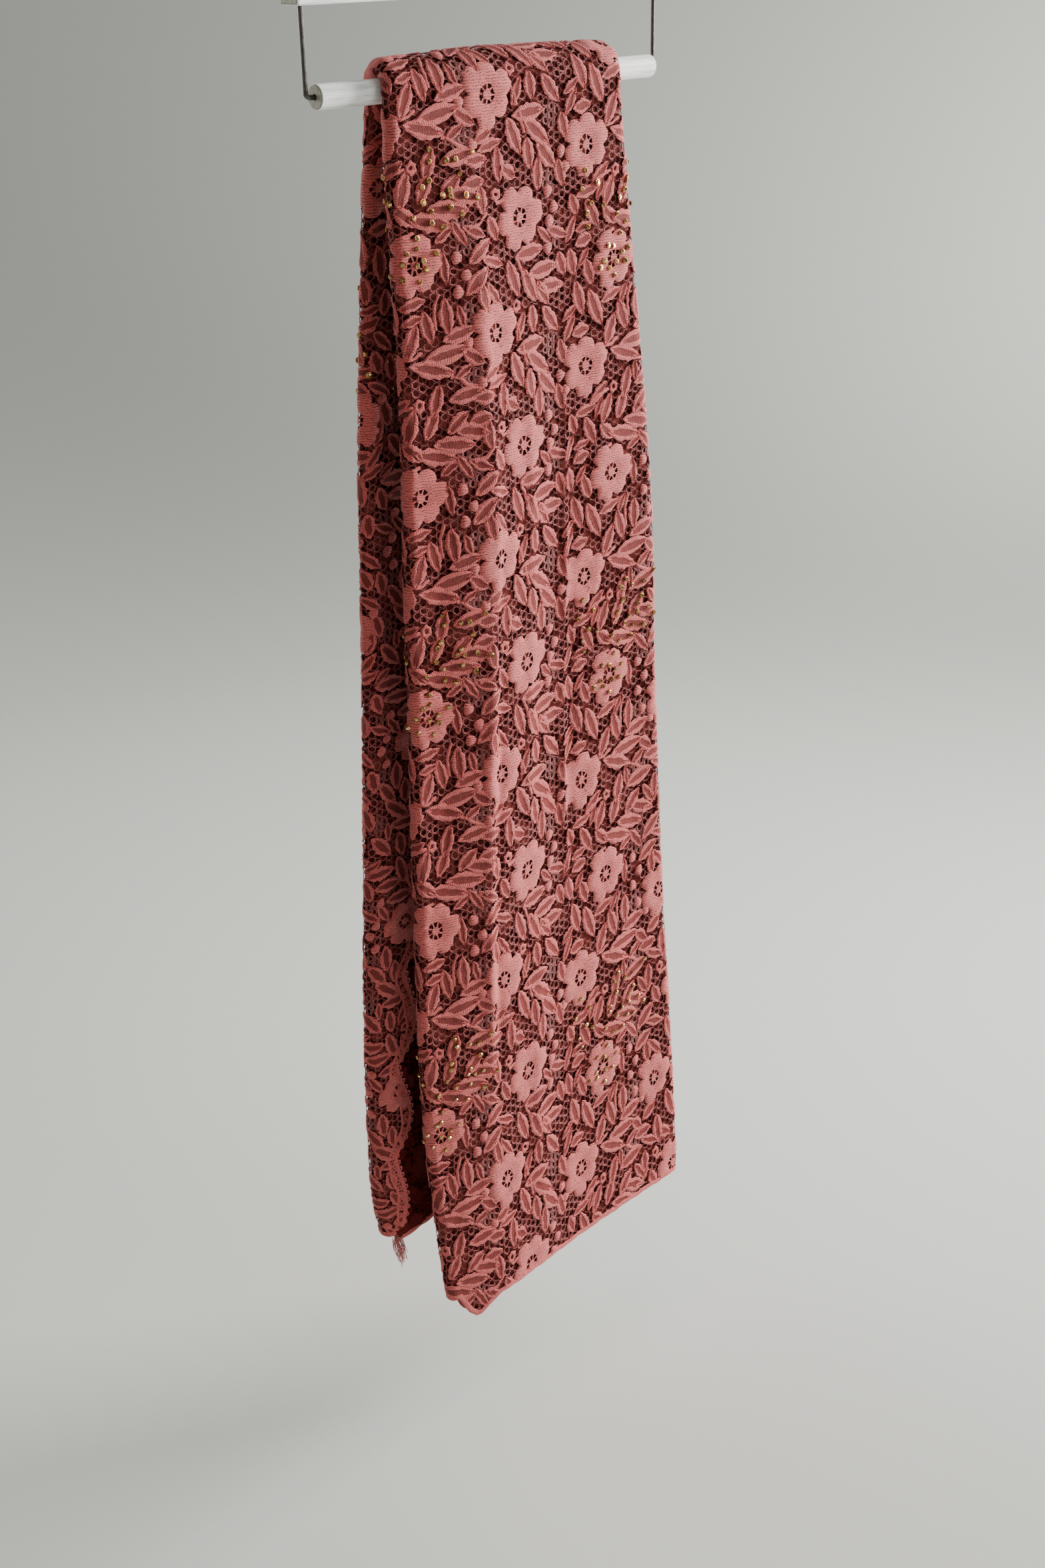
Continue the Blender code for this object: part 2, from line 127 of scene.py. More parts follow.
studio = {
    "floor": -1.06, "radius": 3.0, "sides": 96, "wall": 2.6, "bend": 1.5, "bendSteps": 14,
    "paper": (178, 180, 175), "paperRoughness": 0.9,
    "sky": 0.265, "skyTint": (0.88, 1.0, 0.95, 1), "lampTint": (1.0, 0.975, 0.96),
    # soft lamps: where each stands and looks, its size in metres, its watts, and its spread in
    # degrees
    "lamps": {
        "window": {"from": (1.98, -0.52, -0.05), "at": (0.0, 0.0, -0.45),
                   "size": (1.2, 1.4), "power": 77, "spread": 100},
        "room": {"from": (0.7, -2.2, 0.5), "at": (0.0, 0.0, -0.45),
                 "size": (1.4, 1.2), "power": 5.5, "spread": 90},
        "wall wash": {"from": (2.2, 0.1, 0.1), "at": (2.1, 1.3, -0.5),
                      "size": (1.0, 1.0), "power": 26, "spread": 120},
        "floor wash": {"from": (0.9, 0.3, 0.6), "at": (0.5, 0.5, -1.06),
                       "size": (0.8, 0.8), "power": 3, "spread": 90},
        "far side": {"from": (-0.6, 2.2, 0.3), "at": (0.0, 0.0, -0.45),
                     "size": (1.4, 1.4), "power": 15, "spread": 110},
    },
}


def addLight(name, settings):
    deselectAll()
    bpy.ops.object.light_add(type="AREA", location=settings["from"])
    lamp = bpy.context.object
    lamp.name = name
    aim = Vector(settings["at"]) - Vector(settings["from"])
    lamp.rotation_euler = aim.to_track_quat("-Z", "Y").to_euler()
    lamp.data.shape = "RECTANGLE"
    lamp.data.size, lamp.data.size_y = settings["size"]
    lamp.data.energy = settings["power"]
    lamp.data.color = studio["lampTint"]
    lamp.data.spread = math.radians(settings["spread"])


def addStudio():
    # a round floor whose rim bends up into a wall, so that every side has the same backdrop
    deselectAll()
    bpy.ops.mesh.primitive_circle_add(vertices=studio["sides"], radius=studio["radius"],
                                      fill_type="NGON", location=(0, 0, studio["floor"]))
    floor = bpy.context.object
    floor.name = "studio_floor"
    bpy.ops.object.mode_set(mode="EDIT")
    bpy.ops.mesh.select_all(action="SELECT")
    bpy.ops.mesh.extrude_region_move(TRANSFORM_OT_translate={"value": (0, 0, studio["wall"])})
    bpy.ops.mesh.delete(type="ONLY_FACE")
    bpy.ops.object.mode_set(mode="OBJECT")
    sized(floor)
    selectVerts(floor, lambda co: abs(co.z - studio["floor"]) < 0.01)
    bpy.ops.mesh.bevel(offset=studio["bend"], segments=studio["bendSteps"], affect="EDGES")
    bpy.ops.object.mode_set(mode="OBJECT")
    bpy.ops.object.shade_smooth()
    sockets = {"Roughness": studio["paperRoughness"], "Base Color": linear(*studio["paper"])}
    floor.data.materials.append(newMaterial("studio paper", sockets)[0])
    world = bpy.data.worlds.new("soft daylight")
    world.use_nodes = True
    background = world.node_tree.nodes["Background"].inputs
    background["Color"].default_value = studio["skyTint"]
    background["Strength"].default_value = studio["sky"]
    bpy.context.scene.world = world
    for name, settings in studio["lamps"].items():
        addLight(name, settings)


# materials, and the nodes that they share
def newMaterial(name, sockets):
    # the shader's plain sockets are set by name: gives the material, its nodes and those sockets
    material = bpy.data.materials.new(name)
    material.use_nodes = True
    shader = material.node_tree.nodes["Principled BSDF"].inputs
    for label, value in sockets.items():
        shader[label].default_value = value
    return material, material.node_tree, shader


def addNode(tree, kind, **values):
    # set_... is a setting, i0, i1... are sockets by number, and the rest are sockets by name
    node = tree.nodes.new(kind)
    for key, value in values.items():
        if key.startswith("set_"):
            setattr(node, key[4:], value)
            continue
        socket = node.inputs[int(key[1:])] if key[1:].isdigit() else node.inputs[key]
        if isinstance(value, bpy.types.NodeSocket):
            tree.links.new(value, socket)
        else:
            socket.default_value = value
    return node


def numbered(terms, first=0):
    return {f"i{k + first}": term for k, term in enumerate(terms)}


def mathNode(tree, operation, *terms):
    return addNode(tree, "ShaderNodeMath", set_operation=operation, **numbered(terms)).outputs[0]


def mapRange(tree, level, *ends):
    # ends are the range it comes from and the one it goes to
    return addNode(tree, "ShaderNodeMapRange", i0=level, **numbered(ends, 1)).outputs[0]


def mixColours(tree, share, low, high):
    return addNode(tree, "ShaderNodeMix", set_data_type="RGBA", i0=share, i6=low,
                   i7=high).outputs[2]


def noise(tree, place, scale, detail, roughness=0.5):
    return addNode(tree, "ShaderNodeTexNoise", Vector=place, Scale=scale, Detail=detail,
                   Roughness=roughness).outputs["Fac"]


def colourRamp(tree, level, low, high, ends=(0.0, 1.0)):
    node = addNode(tree, "ShaderNodeValToRGB", Fac=level)
    for stop, colour, end in zip(node.color_ramp.elements, (low, high), ends):
        stop.position = end
        stop.color = linear(*colour)
    return node.outputs[0]


def connect(tree, shader, colour, roughness=None, bump=None):
    # bump is a height, its strength and its depth in metres
    tree.links.new(colour, shader["Base Color"])
    if roughness:
        tree.links.new(roughness, shader["Roughness"])
    if bump:
        relief = addNode(tree, "ShaderNodeBump", Height=bump[0], Strength=bump[1], Distance=bump[2])
        tree.links.new(relief.outputs[0], shader["Normal"])


def newGroup(name, inputs, outputs):
    # inputs and outputs are (name, socket kind, value) rows
    group = bpy.data.node_groups.new(name, "ShaderNodeTree")
    for label, kind, value in inputs:
        socket = group.interface.new_socket(label, in_out="INPUT", socket_type="NodeSocket" + kind)
        if value is not None:
            socket.default_value = value
    for label, kind in outputs:
        group.interface.new_socket(label, in_out="OUTPUT", socket_type="NodeSocket" + kind)
    return (group, group.nodes.new("NodeGroupInput").outputs,
            group.nodes.new("NodeGroupOutput").inputs)


def useGroup(tree, group, **values):
    return addNode(tree, "ShaderNodeGroup", set_node_tree=group, **values).outputs


def makeYarnGroup():
    # thread in its own colour on its crown, darkened with painted shade in its hollows, with uneven
    # dye and fuzz
    group, given, out = newGroup(
        "uneven yarn with painted shade",
        [("Place", "Vector", None), ("Light", "Color", (1, 1, 1, 1)),
         ("Dark", "Color", (0, 0, 0, 1)), ("Crown", "Float", 1.0), ("Fuzz", "Float", 0.3)],
        [("Color", "Color"), ("Height", "Float")])
    fibres = noise(group, given["Place"], 9.0, 3.0, 0.65)
    patches = noise(group, given["Place"], 0.16, 2.0)
    fuzz = mathNode(group, "MULTIPLY", mathNode(group, "SUBTRACT", fibres, 0.5), given["Fuzz"])
    dye = mathNode(group, "MULTIPLY", mathNode(group, "SUBTRACT", patches, 0.5), 0.5)
    level = mathNode(group, "ADD", mathNode(group, "ADD", given["Crown"], fuzz), dye)
    group.links.new(mixColours(group, level, given["Dark"], given["Light"]), out["Color"])
    group.links.new(mathNode(group, "ADD", level, fuzz), out["Height"])
    return group


def makeCoursesGroup():
    # side-by-side threads: a wave along one axis, bent a little by noise, with torn hollows
    group, given, out = newGroup(
        "thread courses",
        [("Along", "Float", 0.0), ("Place", "Vector", None), ("Pitch", "Float", 1.5),
         ("Wander", "Float", 1.5)],
        [("Height", "Float")])
    drift = mathNode(group, "SUBTRACT", noise(group, given["Place"], 0.45, 3.0), 0.5)
    dash = mapRange(group, noise(group, given["Place"], 1.1, 1.0), 0.4, 0.58, 0.25, 1.5)
    bend = mathNode(group, "MULTIPLY", drift, given["Wander"])
    turns = mathNode(group, "DIVIDE", mathNode(group, "ADD", given["Along"], bend), given["Pitch"])
    wave = mathNode(group, "SINE", mathNode(group, "MULTIPLY", turns, 2 * math.pi))
    gap = mathNode(group, "POWER", mathNode(group, "MULTIPLY_ADD", wave, -0.5, 0.5), 2.5)
    torn = mathNode(group, "MULTIPLY", gap, dash)
    group.links.new(mathNode(group, "SUBTRACT", 1.0, torn), out["Height"])
    return group


yarn = {
    # the darker colour of each pair is painted shade, for the threads' hollows
    "light": (219, 90, 85), "mid": (170, 62, 58), "dark": (62, 12, 11),
    "panelLight": (148, 50, 46), "panelHollowShade": (66, 13, 12),
    "roughness": 0.82, "sheen": 0.4, "sheenSpread": 0.5, "relief": 0.8, "thread": 0.001,
}


def laceMaterial(name, courses, pitch, light, dark, crown, depth, useRun=False, chevron=0.0,
                 gloss=0.5):
    # courses is the UV axis that the threads are stacked along, and chevron slants them to a point
    material, tree, shader = newMaterial(name, {
        "Roughness": yarn["roughness"], "Specular IOR Level": gloss,
        "Sheen Weight": yarn["sheen"] * gloss, "Sheen Roughness": yarn["sheenSpread"]})
    place = addNode(tree, "ShaderNodeUVMap", set_uv_map="cloth").outputs[0]
    source = addNode(tree, "ShaderNodeUVMap", set_uv_map="run" if useRun else "cloth").outputs[0]
    axes = addNode(tree, "ShaderNodeSeparateXYZ", i0=source).outputs
    slant = mathNode(tree, "MULTIPLY", mathNode(tree, "ABSOLUTE", axes[1 - courses]), chevron)
    along = mathNode(tree, "ADD", axes[courses], slant)
    threads = useGroup(tree, coursesGroup, Along=along, Place=place, Pitch=pitch)["Height"]
    # the hollows between threads take the darker colour, painted shade, as much as depth says
    level = mathNode(tree, "MULTIPLY_ADD", threads, depth, crown - depth / 2)
    made = useGroup(tree, yarnGroup, Place=place, Light=linear(*light), Dark=linear(*dark),
                    Crown=level)
    connect(tree, shader, made["Color"], bump=(made["Height"], yarn["relief"], yarn["thread"]))
    return material


# The cloth's form. One row for each drop below the rod: x of the left fold, of the long ridge, of
# the long trough and of the right fold, then how far each of those stands out from the rod's near
# face.
packet = {
    "rodAxis": -126.0, "innerFace": 7.05, "edgeRound": 5.5, "underLevel": 1.9, "underInset": 2.0,
    "innerRound": 3.0, "innerShare": 0.5, "flapLeast": 3.3, "overRod": 56.0,
    "front": (
        (0, -90.2, -21, 34, 89.9, 9.5, 12.0, 11.2, 10.0),
        (40, -90.8, -34, 34, 93.5, 9.5, 13.0, 11.2, 10.5),
        (90, -90.0, -36, 34, 99.3, 9.5, 15.0, 11.2, 11.0),
        (170, -88.4, -35, 34, 108.3, 9.5, 17.5, 11.0, 12.0),
        (280, -91.6, -35, 35, 120.3, 9.8, 19.0, 11.0, 12.5),
        (405, -94.4, -36, 35, 126.0, 10.0, 19.0, 11.0, 12.5),
        (490, -96.7, -39, 37, 131.5, 10.0, 19.0, 11.0, 12.5),
        (576, -98.1, -44, 39, 136.8, 10.0, 18.5, 11.5, 12.5),
        (650, -98.8, -46, 42, 143.4, 10.0, 18.0, 12.0, 12.5),
        (700, -97.6, -45, 45, 147.6, 10.0, 17.5, 12.0, 12.5),
        (750, -93.4, -42, 48, 151.8, 10.0, 17.0, 12.0, 12.5),
        (790, -90.0, -39, 50, 155.2, 9.8, 16.5, 11.8, 12.3),
        (832, -85.5, -35, 53, 158.0, 9.5, 16.0, 11.5, 12.0),
        (868, -80.0, -32, 55, 157.5, 9.5, 15.5, 11.2, 11.8),
    ),
    "back": (
        (0, -83.0, -9, 41, 90.0, 9.5, 12.0, 11.0, 10.0),
        (87, -92.4, -13, 41, 91.0, 9.5, 13.5, 10.8, 10.5),
        (171, -100.0, -19, 41, 92.5, 9.5, 14.5, 10.5, 11.0),
        (229, -104.2, -24, 40, 94.0, 9.8, 15.0, 10.5, 11.5),
        (328, -108.6, -29, 39, 97.0, 10.0, 15.0, 10.5, 12.0),
        (387, -111.8, -33, 39, 98.5, 10.5, 15.0, 10.8, 12.0),
        (476, -117.2, -39, 37, 100.5, 11.0, 15.0, 11.0, 12.0),
        (565, -123.0, -45, 34, 103.0, 11.5, 15.0, 11.5, 12.0),
        (618, -125.6, -49, 31, 104.5, 12.0, 15.5, 12.0, 12.5),
        (678, -127.4, -51, 29, 106.0, 12.5, 15.5, 12.0, 12.5),
        (742, -127.2, -52, 28, 108.0, 12.5, 15.5, 12.0, 12.5),
        (798, -119.0, -52, 27, 109.0, 12.0, 15.0, 12.0, 12.0),
    ),
    "frontLength": 857.0, "backLength": 786.0,
    # share of the drop that the hem reaches, by the part of the face's width
    "frontHem": ((0.0, 0.985), (0.04, 1.006), (0.07, 1.015), (0.15, 1.0), (0.3, 0.998),
                 (0.55, 0.995), (0.8, 0.991), (1.0, 0.989)),
    "backHem": ((0.0, 0.988), (0.02, 0.999), (0.07, 1.0), (0.15, 0.996), (0.22, 0.991),
                (0.4, 0.994), (1.0, 0.996)),
    # drop, x of the scalloped edge's hollows, depth of its scallops
    "frontSelvage": ((0, 51, 10), (200, 53, 10), (450, 56, 11), (700, 59, 11), (860, 61, 11)),
    "backSelvage": ((0, 51, 10), (150, 6, 10), (300, -37, 11), (450, -70, 12), (560, -92, 13),
                    (636, -103, 14), (711, -109, 12), (786, -113, 8)),
    "frontSelvageEnd": 838.0, "backSelvageEnd": 777.0,
    "scallopPitch": 75.0, "scallopStart": 36.0, "scallopLean": 1.4,
}


def smoothTable(rows):
    # the rows' values at every millimetre, on a smooth curve through them
    table = np.array(rows, float)
    places = np.arange(table[0, 0], table[-1, 0] + 1.0)
    at = np.clip(np.searchsorted(table[:, 0], places, side="left") - 1, 0, len(table) - 2)
    before, beyond = np.maximum(at - 1, 0), np.minimum(at + 2, len(table) - 1)
    here, after = table[at], table[at + 1]
    span = (after[:, 0] - here[:, 0])[:, None]
    t = (places - here[:, 0])[:, None] / span
    slopeIn = (after - table[before]) / (after - table[before])[:, :1] * span
    slopeOut = (table[beyond] - here) / (table[beyond] - here)[:, :1] * span
    values = (2 * t**3 - 3 * t**2 + 1) * here + (t**3 - 2 * t**2 + t) * slopeIn
    values += (3 * t**2 - 2 * t**3) * after + (t**3 - t**2) * slopeOut
    return places, values[:, 1:]


def readTable(table, at):
    places, values = table
    return [np.interp(at, places, column) for column in values.T]


frontTable, backTable = smoothTable(packet["front"]), smoothTable(packet["back"])
frontEdge, backEdge = smoothTable(packet["frontSelvage"]), smoothTable(packet["backSelvage"])


def ease(t):
    t = np.clip(t, 0, 1)
    return 0.5 * t + 0.5 * t * t * (3 - 2 * t)


def splitRun(run):
    # run is the distance along the cloth: the front drop is positive, the way over the rod and
    # the back drop are negative. Gives both drops and how far round the rod the place is.
    share = np.clip(-run / packet["overRod"], 0, 1)
    return np.maximum(run, 0), np.maximum(-run - packet["overRod"], 0), share


def sectionAt(run):
    frontDrop, backDrop, share = splitRun(run)
    front, back = readTable(frontTable, frontDrop), readTable(backTable, backDrop)
    return [a * (1 - share) + b * share for a, b in zip(front, back)]


def faceHeight(x, row):
    left, ridge, trough, right, atLeft, atRidge, atTrough, atRight = row
    up = atLeft + (atRidge - atLeft) * ease((x - left) / (ridge - left))
    down = atRidge + (atTrough - atRidge) * ease((x - ridge) / (trough - ridge))
    rise = atTrough + (atRight - atTrough) * ease((x - trough) / (right - trough))
    return np.where(x < ridge, up, np.where(x < trough, down, rise))


def foldLengths(row):
    # the ends of the face, and the way round the left and the right fold
    start, finish = row[0] + packet["edgeRound"], row[3] - packet["edgeRound"]
    leftHalf = faceHeight(start, row) / 2
    rightHalf = (faceHeight(finish, row) - packet["underLevel"]) / 2
    girth = [math.pi * np.sqrt((packet["edgeRound"] ** 2 + half**2) / 2)
             for half in (leftHalf, rightHalf)]
    return start, finish, leftHalf, rightHalf, girth[0], girth[1]


def selvageX(run):
    frontDrop, backDrop, share = splitRun(run)
    values = []
    for table, drop in ((frontEdge, frontDrop), (backEdge, backDrop)):
        hollow, depth = readTable(table, drop)
        part = (drop - packet["scallopStart"]) / packet["scallopPitch"] % 1.0
        values.append(hollow + depth * np.sin(math.pi * part ** packet["scallopLean"]))
    return np.where(share >= 1, values[1], values[0])


def innerTurn(row):
    # where the second layer turns back inside the packet, half its rise, and the way round
    start = row[0] + packet["edgeRound"] + packet["underInset"]
    half = (innerLevel(start, row) - packet["underLevel"]) / 2
    return start, half, math.pi * np.sqrt((packet["innerRound"] ** 2 + half**2) / 2)


def innerLevel(x, row):
    return packet["underLevel"] + packet["innerShare"] * (faceHeight(x, row) - packet["underLevel"])


def acrossLimits(run):
    # the cloth's free selvage on the rod side, and where its second layer turns out of sight
    start, finish, _, _, leftGirth, rightGirth = foldLengths(sectionAt(run))
    edge = np.maximum(selvageX(run), start + packet["flapLeast"])
    low = start - leftGirth - (edge - start)
    high = finish + rightGirth + (finish - start - packet["underInset"])
    return low, high


# soft creases laid on the form, listed one by one: places down the cloth as (run, across), how high
# the crease stands (a trough is negative), and half its width
creases = (
    (((40, -30), (180, -31), (300, -29), (350, -33), (440, -40), (540, -45), (600, -44),
      (700, -43)), 2.2, 6.0),
    (((260, -22), (350, -26), (440, -32), (560, -36), (700, -36)), -1.6, 4.5),
    (((150, 41), (210, 38), (280, 37), (370, 35), (450, 33), (520, 35), (600, 37)), 2.0, 3.6),
    (((170, 46), (280, 43), (370, 41), (450, 39), (560, 41)), -1.2, 4.0),
    (((120, 8), (300, 4), (460, -2), (520, -4)), 1.3, 5.0),
    (((560, 6), (700, 2), (850, 6)), 1.4, 7.0),
    (((20, 76), (160, 72), (420, 78)), 0.9, 12.0),
    (((300, 96), (520, 104), (850, 118)), -1.3, 14.0),
    (((60, 118), (200, 112), (330, 104)), 0.8, 8.0),
    (((140, -66), (320, -70), (520, -78)), -1.3, 10.0),
    (((520, -66), (700, -72), (850, -66)), 1.1, 8.0),
    (((-60, 50), (-200, 62), (-420, 70)), -1.4, 14.0),
    (((-140, 24), (-420, 12), (-830, 6)), 2.4, 6.0),
    (((-180, -52), (-420, -40), (-780, -30)), -1.5, 13.0),
    (((-240, -70), (-520, -88), (-840, -100)), 1.6, 7.0),
    (((-380, 84), (-600, 80), (-800, 88)), 1.2, 9.0),
    (((80, 160), (400, 168), (800, 176)), 1.0, 14.0),
    (((180, 226), (500, 230), (840, 240)), -1.0, 16.0),
    (((60, -150), (300, -160), (700, -164)), 0.8, 13.0),
    (((-120, -160), (-380, -150)), -0.8, 12.0),
)


def creaseLift(across, run):
    # each crease fades at its ends, and wanders and swells a little on its way
    lift = np.zeros_like(across)
    for path, height, width in creases:
        runs, places = np.array(path, float).T
        order = np.argsort(runs)
        centre = np.interp(run, runs[order], places[order])
        t = (run - runs.min()) / (runs.max() - runs.min())
        fade = np.clip(np.minimum(t, 1 - t) * 7, 0, 1) * (t > 0) * (t < 1)
        wobble = 1.2 * np.sin(run / 43.0 + height)
        uneven = 0.8 + 0.2 * np.sin(run / 27.0 + width)
        shape = np.exp(-np.abs((across - centre - wobble) / width) ** 1.5)
        lift += height * uneven * fade * fade * (3 - 2 * fade) * shape
    return lift


def packetPoint(across, run):
    # a place of the flat cloth on its folded and hung form, in millimetres
    row = sectionAt(run)
    start, finish, leftHalf, rightHalf, leftGirth, rightGirth = foldLengths(row)
    bend = packet["edgeRound"]
    x = np.clip(across, start, finish)
    height = faceHeight(x, row)
    past = across - finish
    turn = np.clip(past / rightGirth, 0, 1) * math.pi
    middle = packet["underLevel"] + rightHalf
    folded = past > 0
    x = np.where(folded, row[3] - bend * (1 - np.sin(turn)) - np.maximum(past - rightGirth, 0), x)
    height = np.where(folded, middle + rightHalf * np.cos(turn), height)
    # the third layer turns back between the first two
    turnX, innerHalf, innerGirth = innerTurn(row)
    past = across - (finish + rightGirth + finish - turnX)
    turn = np.clip(past / innerGirth, 0, 1) * math.pi
    beyond = np.maximum(past - innerGirth, 0)
    folded = past > 0
    x = np.where(folded, turnX - packet["innerRound"] * np.sin(turn) + beyond, x)
    inner = np.where(beyond > 0, innerLevel(x, row),
                     packet["underLevel"] + innerHalf * (1 - np.cos(turn)))
    height = np.where(folded, inner, height)
    past = start - across
    turn = (1 - np.clip(past / leftGirth, 0, 1)) * math.pi
    folded = past > 0
    x = np.where(folded, row[0] + bend * (1 - np.sin(turn)) + np.maximum(past - leftGirth, 0), x)
    height = np.where(folded, leftHalf * (1 - np.cos(turn)), height)
    return x, height


def packetPlace(across, run):
    # the same place in space, round the rod or down either drop
    x, height = packetPoint(across, run)
    front, back, share = splitRun(run)
    radius = packet["innerFace"] + height
    turn = share * math.pi
    z = packet["rodAxis"] + radius * np.sin(turn) - front - back
    return np.stack([x, -radius * np.cos(turn), z], -1)


def clothPoint(across, run, lift):
    # in metres, with the creases, and lifted off the cloth's outer face
    alongX = packetPlace(across + 0.5, run) - packetPlace(across - 0.5, run)
    alongRun = packetPlace(across, run + 0.5) - packetPlace(across, run - 0.5)
    outward = unit(np.cross(alongRun, alongX))
    total = lift + creaseLift(across, run)
    return (packetPlace(across, run) + outward * total[..., None]) * millimetre


def hemShare(drop, stations):
    return np.interp(stations, *np.array(packet[drop + "Hem"]).T)


def hemRun(across, side):
    # how far down the hem is, at a place across the cloth: side is 1 in front, -1 behind
    drop, rows = ("front", frontTable) if side > 0 else ("back", backTable)
    length = packet[drop + "Length"]
    row = readTable(rows, np.full_like(across, length))
    start, finish, _, _, leftGirth, rightGirth = foldLengths(row)
    mirrored = finish - (across - finish - rightGirth)
    x = np.where(across > finish + rightGirth, mirrored, across)
    down = length * hemShare(drop, np.clip((x - start) / (finish - start), 0, 1))
    flap = across < start - leftGirth
    down = np.where(flap, np.minimum(down, packet[drop + "SelvageEnd"]), down)
    return down if side > 0 else -down - packet["overRod"]


# parts of a mesh are gathered in rows of arrays, and joined when all are there
def emptyRows():
    return {"count": 0}


def addRows(rows, points, triangles, **others):
    others.update(points=points, triangles=triangles + rows["count"])
    for key, values in others.items():
        rows.setdefault(key, []).append(values)
    rows["count"] += len(points)


def joined(rows):
    return {key: np.concatenate(parts) for key, parts in rows.items() if key != "count"}


def cutRows(flat, keep):
    # the wanted triangles, with only the points that they use
    used = np.unique(flat["triangles"][keep])
    place = np.full(len(flat["points"]), -1)
    place[used] = np.arange(len(used))
    part = {key: values[used] for key, values in flat.items() if key not in ("triangles", "slots")}
    part.update(triangles=place[flat["triangles"][keep]], slots=flat["slots"][keep])
    return part


def facingUp(points, triangles):
    # turns over the triangles that face down
    corner = points[triangles]
    normals = np.cross(corner[:, 1] - corner[:, 0], corner[:, 2] - corner[:, 0])
    triangles[normals[:, 2] < 0] = triangles[normals[:, 2] < 0][:, ::-1]
    return triangles


def meshFrom(name, flat, materials):
    # an object from arrays, with its two UV maps in millimetres of cloth where they are given
    mesh = bpy.data.meshes.new(name)
    triangles = flat["triangles"]
    mesh.vertices.add(len(flat["points"]))
    mesh.vertices.foreach_set("co", np.ascontiguousarray(flat["points"], np.float32).ravel())
    mesh.loops.add(triangles.size)
    mesh.loops.foreach_set("vertex_index", triangles.ravel().astype(np.int32))
    mesh.polygons.add(len(triangles))
    mesh.polygons.foreach_set("loop_start", np.arange(0, triangles.size, 3, dtype=np.int32))
    for label in ("cloth", "run"):
        if label in flat:
            layer = mesh.uv_layers.new(name=label)
            layer.data.foreach_set("uv", flat[label][triangles.ravel()].astype(np.float32).ravel())
    for material in materials:
        mesh.materials.append(material)
    mesh.polygons.foreach_set("material_index", flat["slots"].astype(np.int32))
    mesh.polygons.foreach_set("use_smooth", np.ones(len(triangles), bool))
    mesh.update(calc_edges=True)
    mesh.validate()
    item = bpy.data.objects.new(name, mesh)
    bpy.context.scene.collection.objects.link(item)
    return item


# the lace's stitches, each modelled once, in millimetres
stitches = {
    # slot and wide are how far a cell's hole is stretched in close mesh and beside a motif
    "net": {"radius": 3.12, "lines": 26, "strand": 0.92, "crest": 0.12, "foot": -0.3,
            "slot": (0.55, 0.95), "wide": (1.3, 1.25)},
    "leaf": {"length": 24.0, "width": 10.4, "columns": 10, "jag": 0.07, "panelFrom": 0.28,
             "rows": (-1.0, -0.72, -0.42, 0.0, 0.42, 0.72, 1.0),
             "lifts": (0.2, 0.8, 0.34, 0.24, 0.34, 0.8, 0.2)},
    "flower": {"petals": 6, "spokes": 8, "outer": 18.4, "valley": 0.24, "foot": 0.18,
               "eye": 5.4, "eyeLift": 0.35, "disc": 2.9, "discLift": 0.6, "spokeLift": 0.3,
               "rings": ((0.92, 0.8), (0.7, 0.95), (0.48, 0.8)),
               "uneven": (1.02, 0.93, 1.04, 0.96, 1.0, 0.91)},
    "dot": {"radius": 3.9, "crest": 0.8, "sides": 10, "rim": 0.35, "waist": 0.9},
    "ringlet": {"outer": 4.4, "inner": 1.4, "crest": 0.7, "sides": 12, "waist": 0.8},
}


def takeStitch(item, slotOf=None):
    # reads a modelled stitch as arrays, and clears it away
    pickOnly(item)
    bpy.ops.object.mode_set(mode="EDIT")
    bpy.ops.mesh.select_all(action="SELECT")
    bpy.ops.mesh.quads_convert_to_tris()
    bpy.ops.object.mode_set(mode="OBJECT")
    points = np.array([v.co for v in item.data.vertices])
    triangles = facingUp(points, np.array([p.vertices for p in item.data.polygons]))
    slots = np.array([slotOf(c) if slotOf else 0 for c in points[triangles].mean(1)])
    bpy.data.objects.remove(item, do_unlink=True)
    return {"points": points, "triangles": triangles, "slots": slots}


def makeNetCell(hole=(1.0, 1.0)):
    # a thin six-sided ring whose hole is stretched
    settings = stitches["net"]
    deselectAll()
    bpy.ops.mesh.primitive_circle_add(vertices=6, radius=settings["radius"], fill_type="NGON")
    cell = bpy.context.object
    selectVerts(cell, lambda co: True)
    bpy.ops.transform.translate(value=(0, 0, settings["crest"]))
    bpy.ops.mesh.inset(thickness=settings["strand"])
    bpy.ops.transform.resize(value=(*hole, 1), center_override=(0, 0, 0))
    bpy.ops.transform.translate(value=(0, 0, settings["foot"] - settings["crest"]))
    bpy.ops.mesh.delete(type="FACE")
    bpy.ops.object.mode_set(mode="OBJECT")
    return takeStitch(cell)


def leafReach(part):
    # half the leaf's width along it, as a share: two blunt points
    return 0.06 + 0.94 * math.sin(min(max(part, 0.0), 1.0) * math.pi / 2) ** 0.8


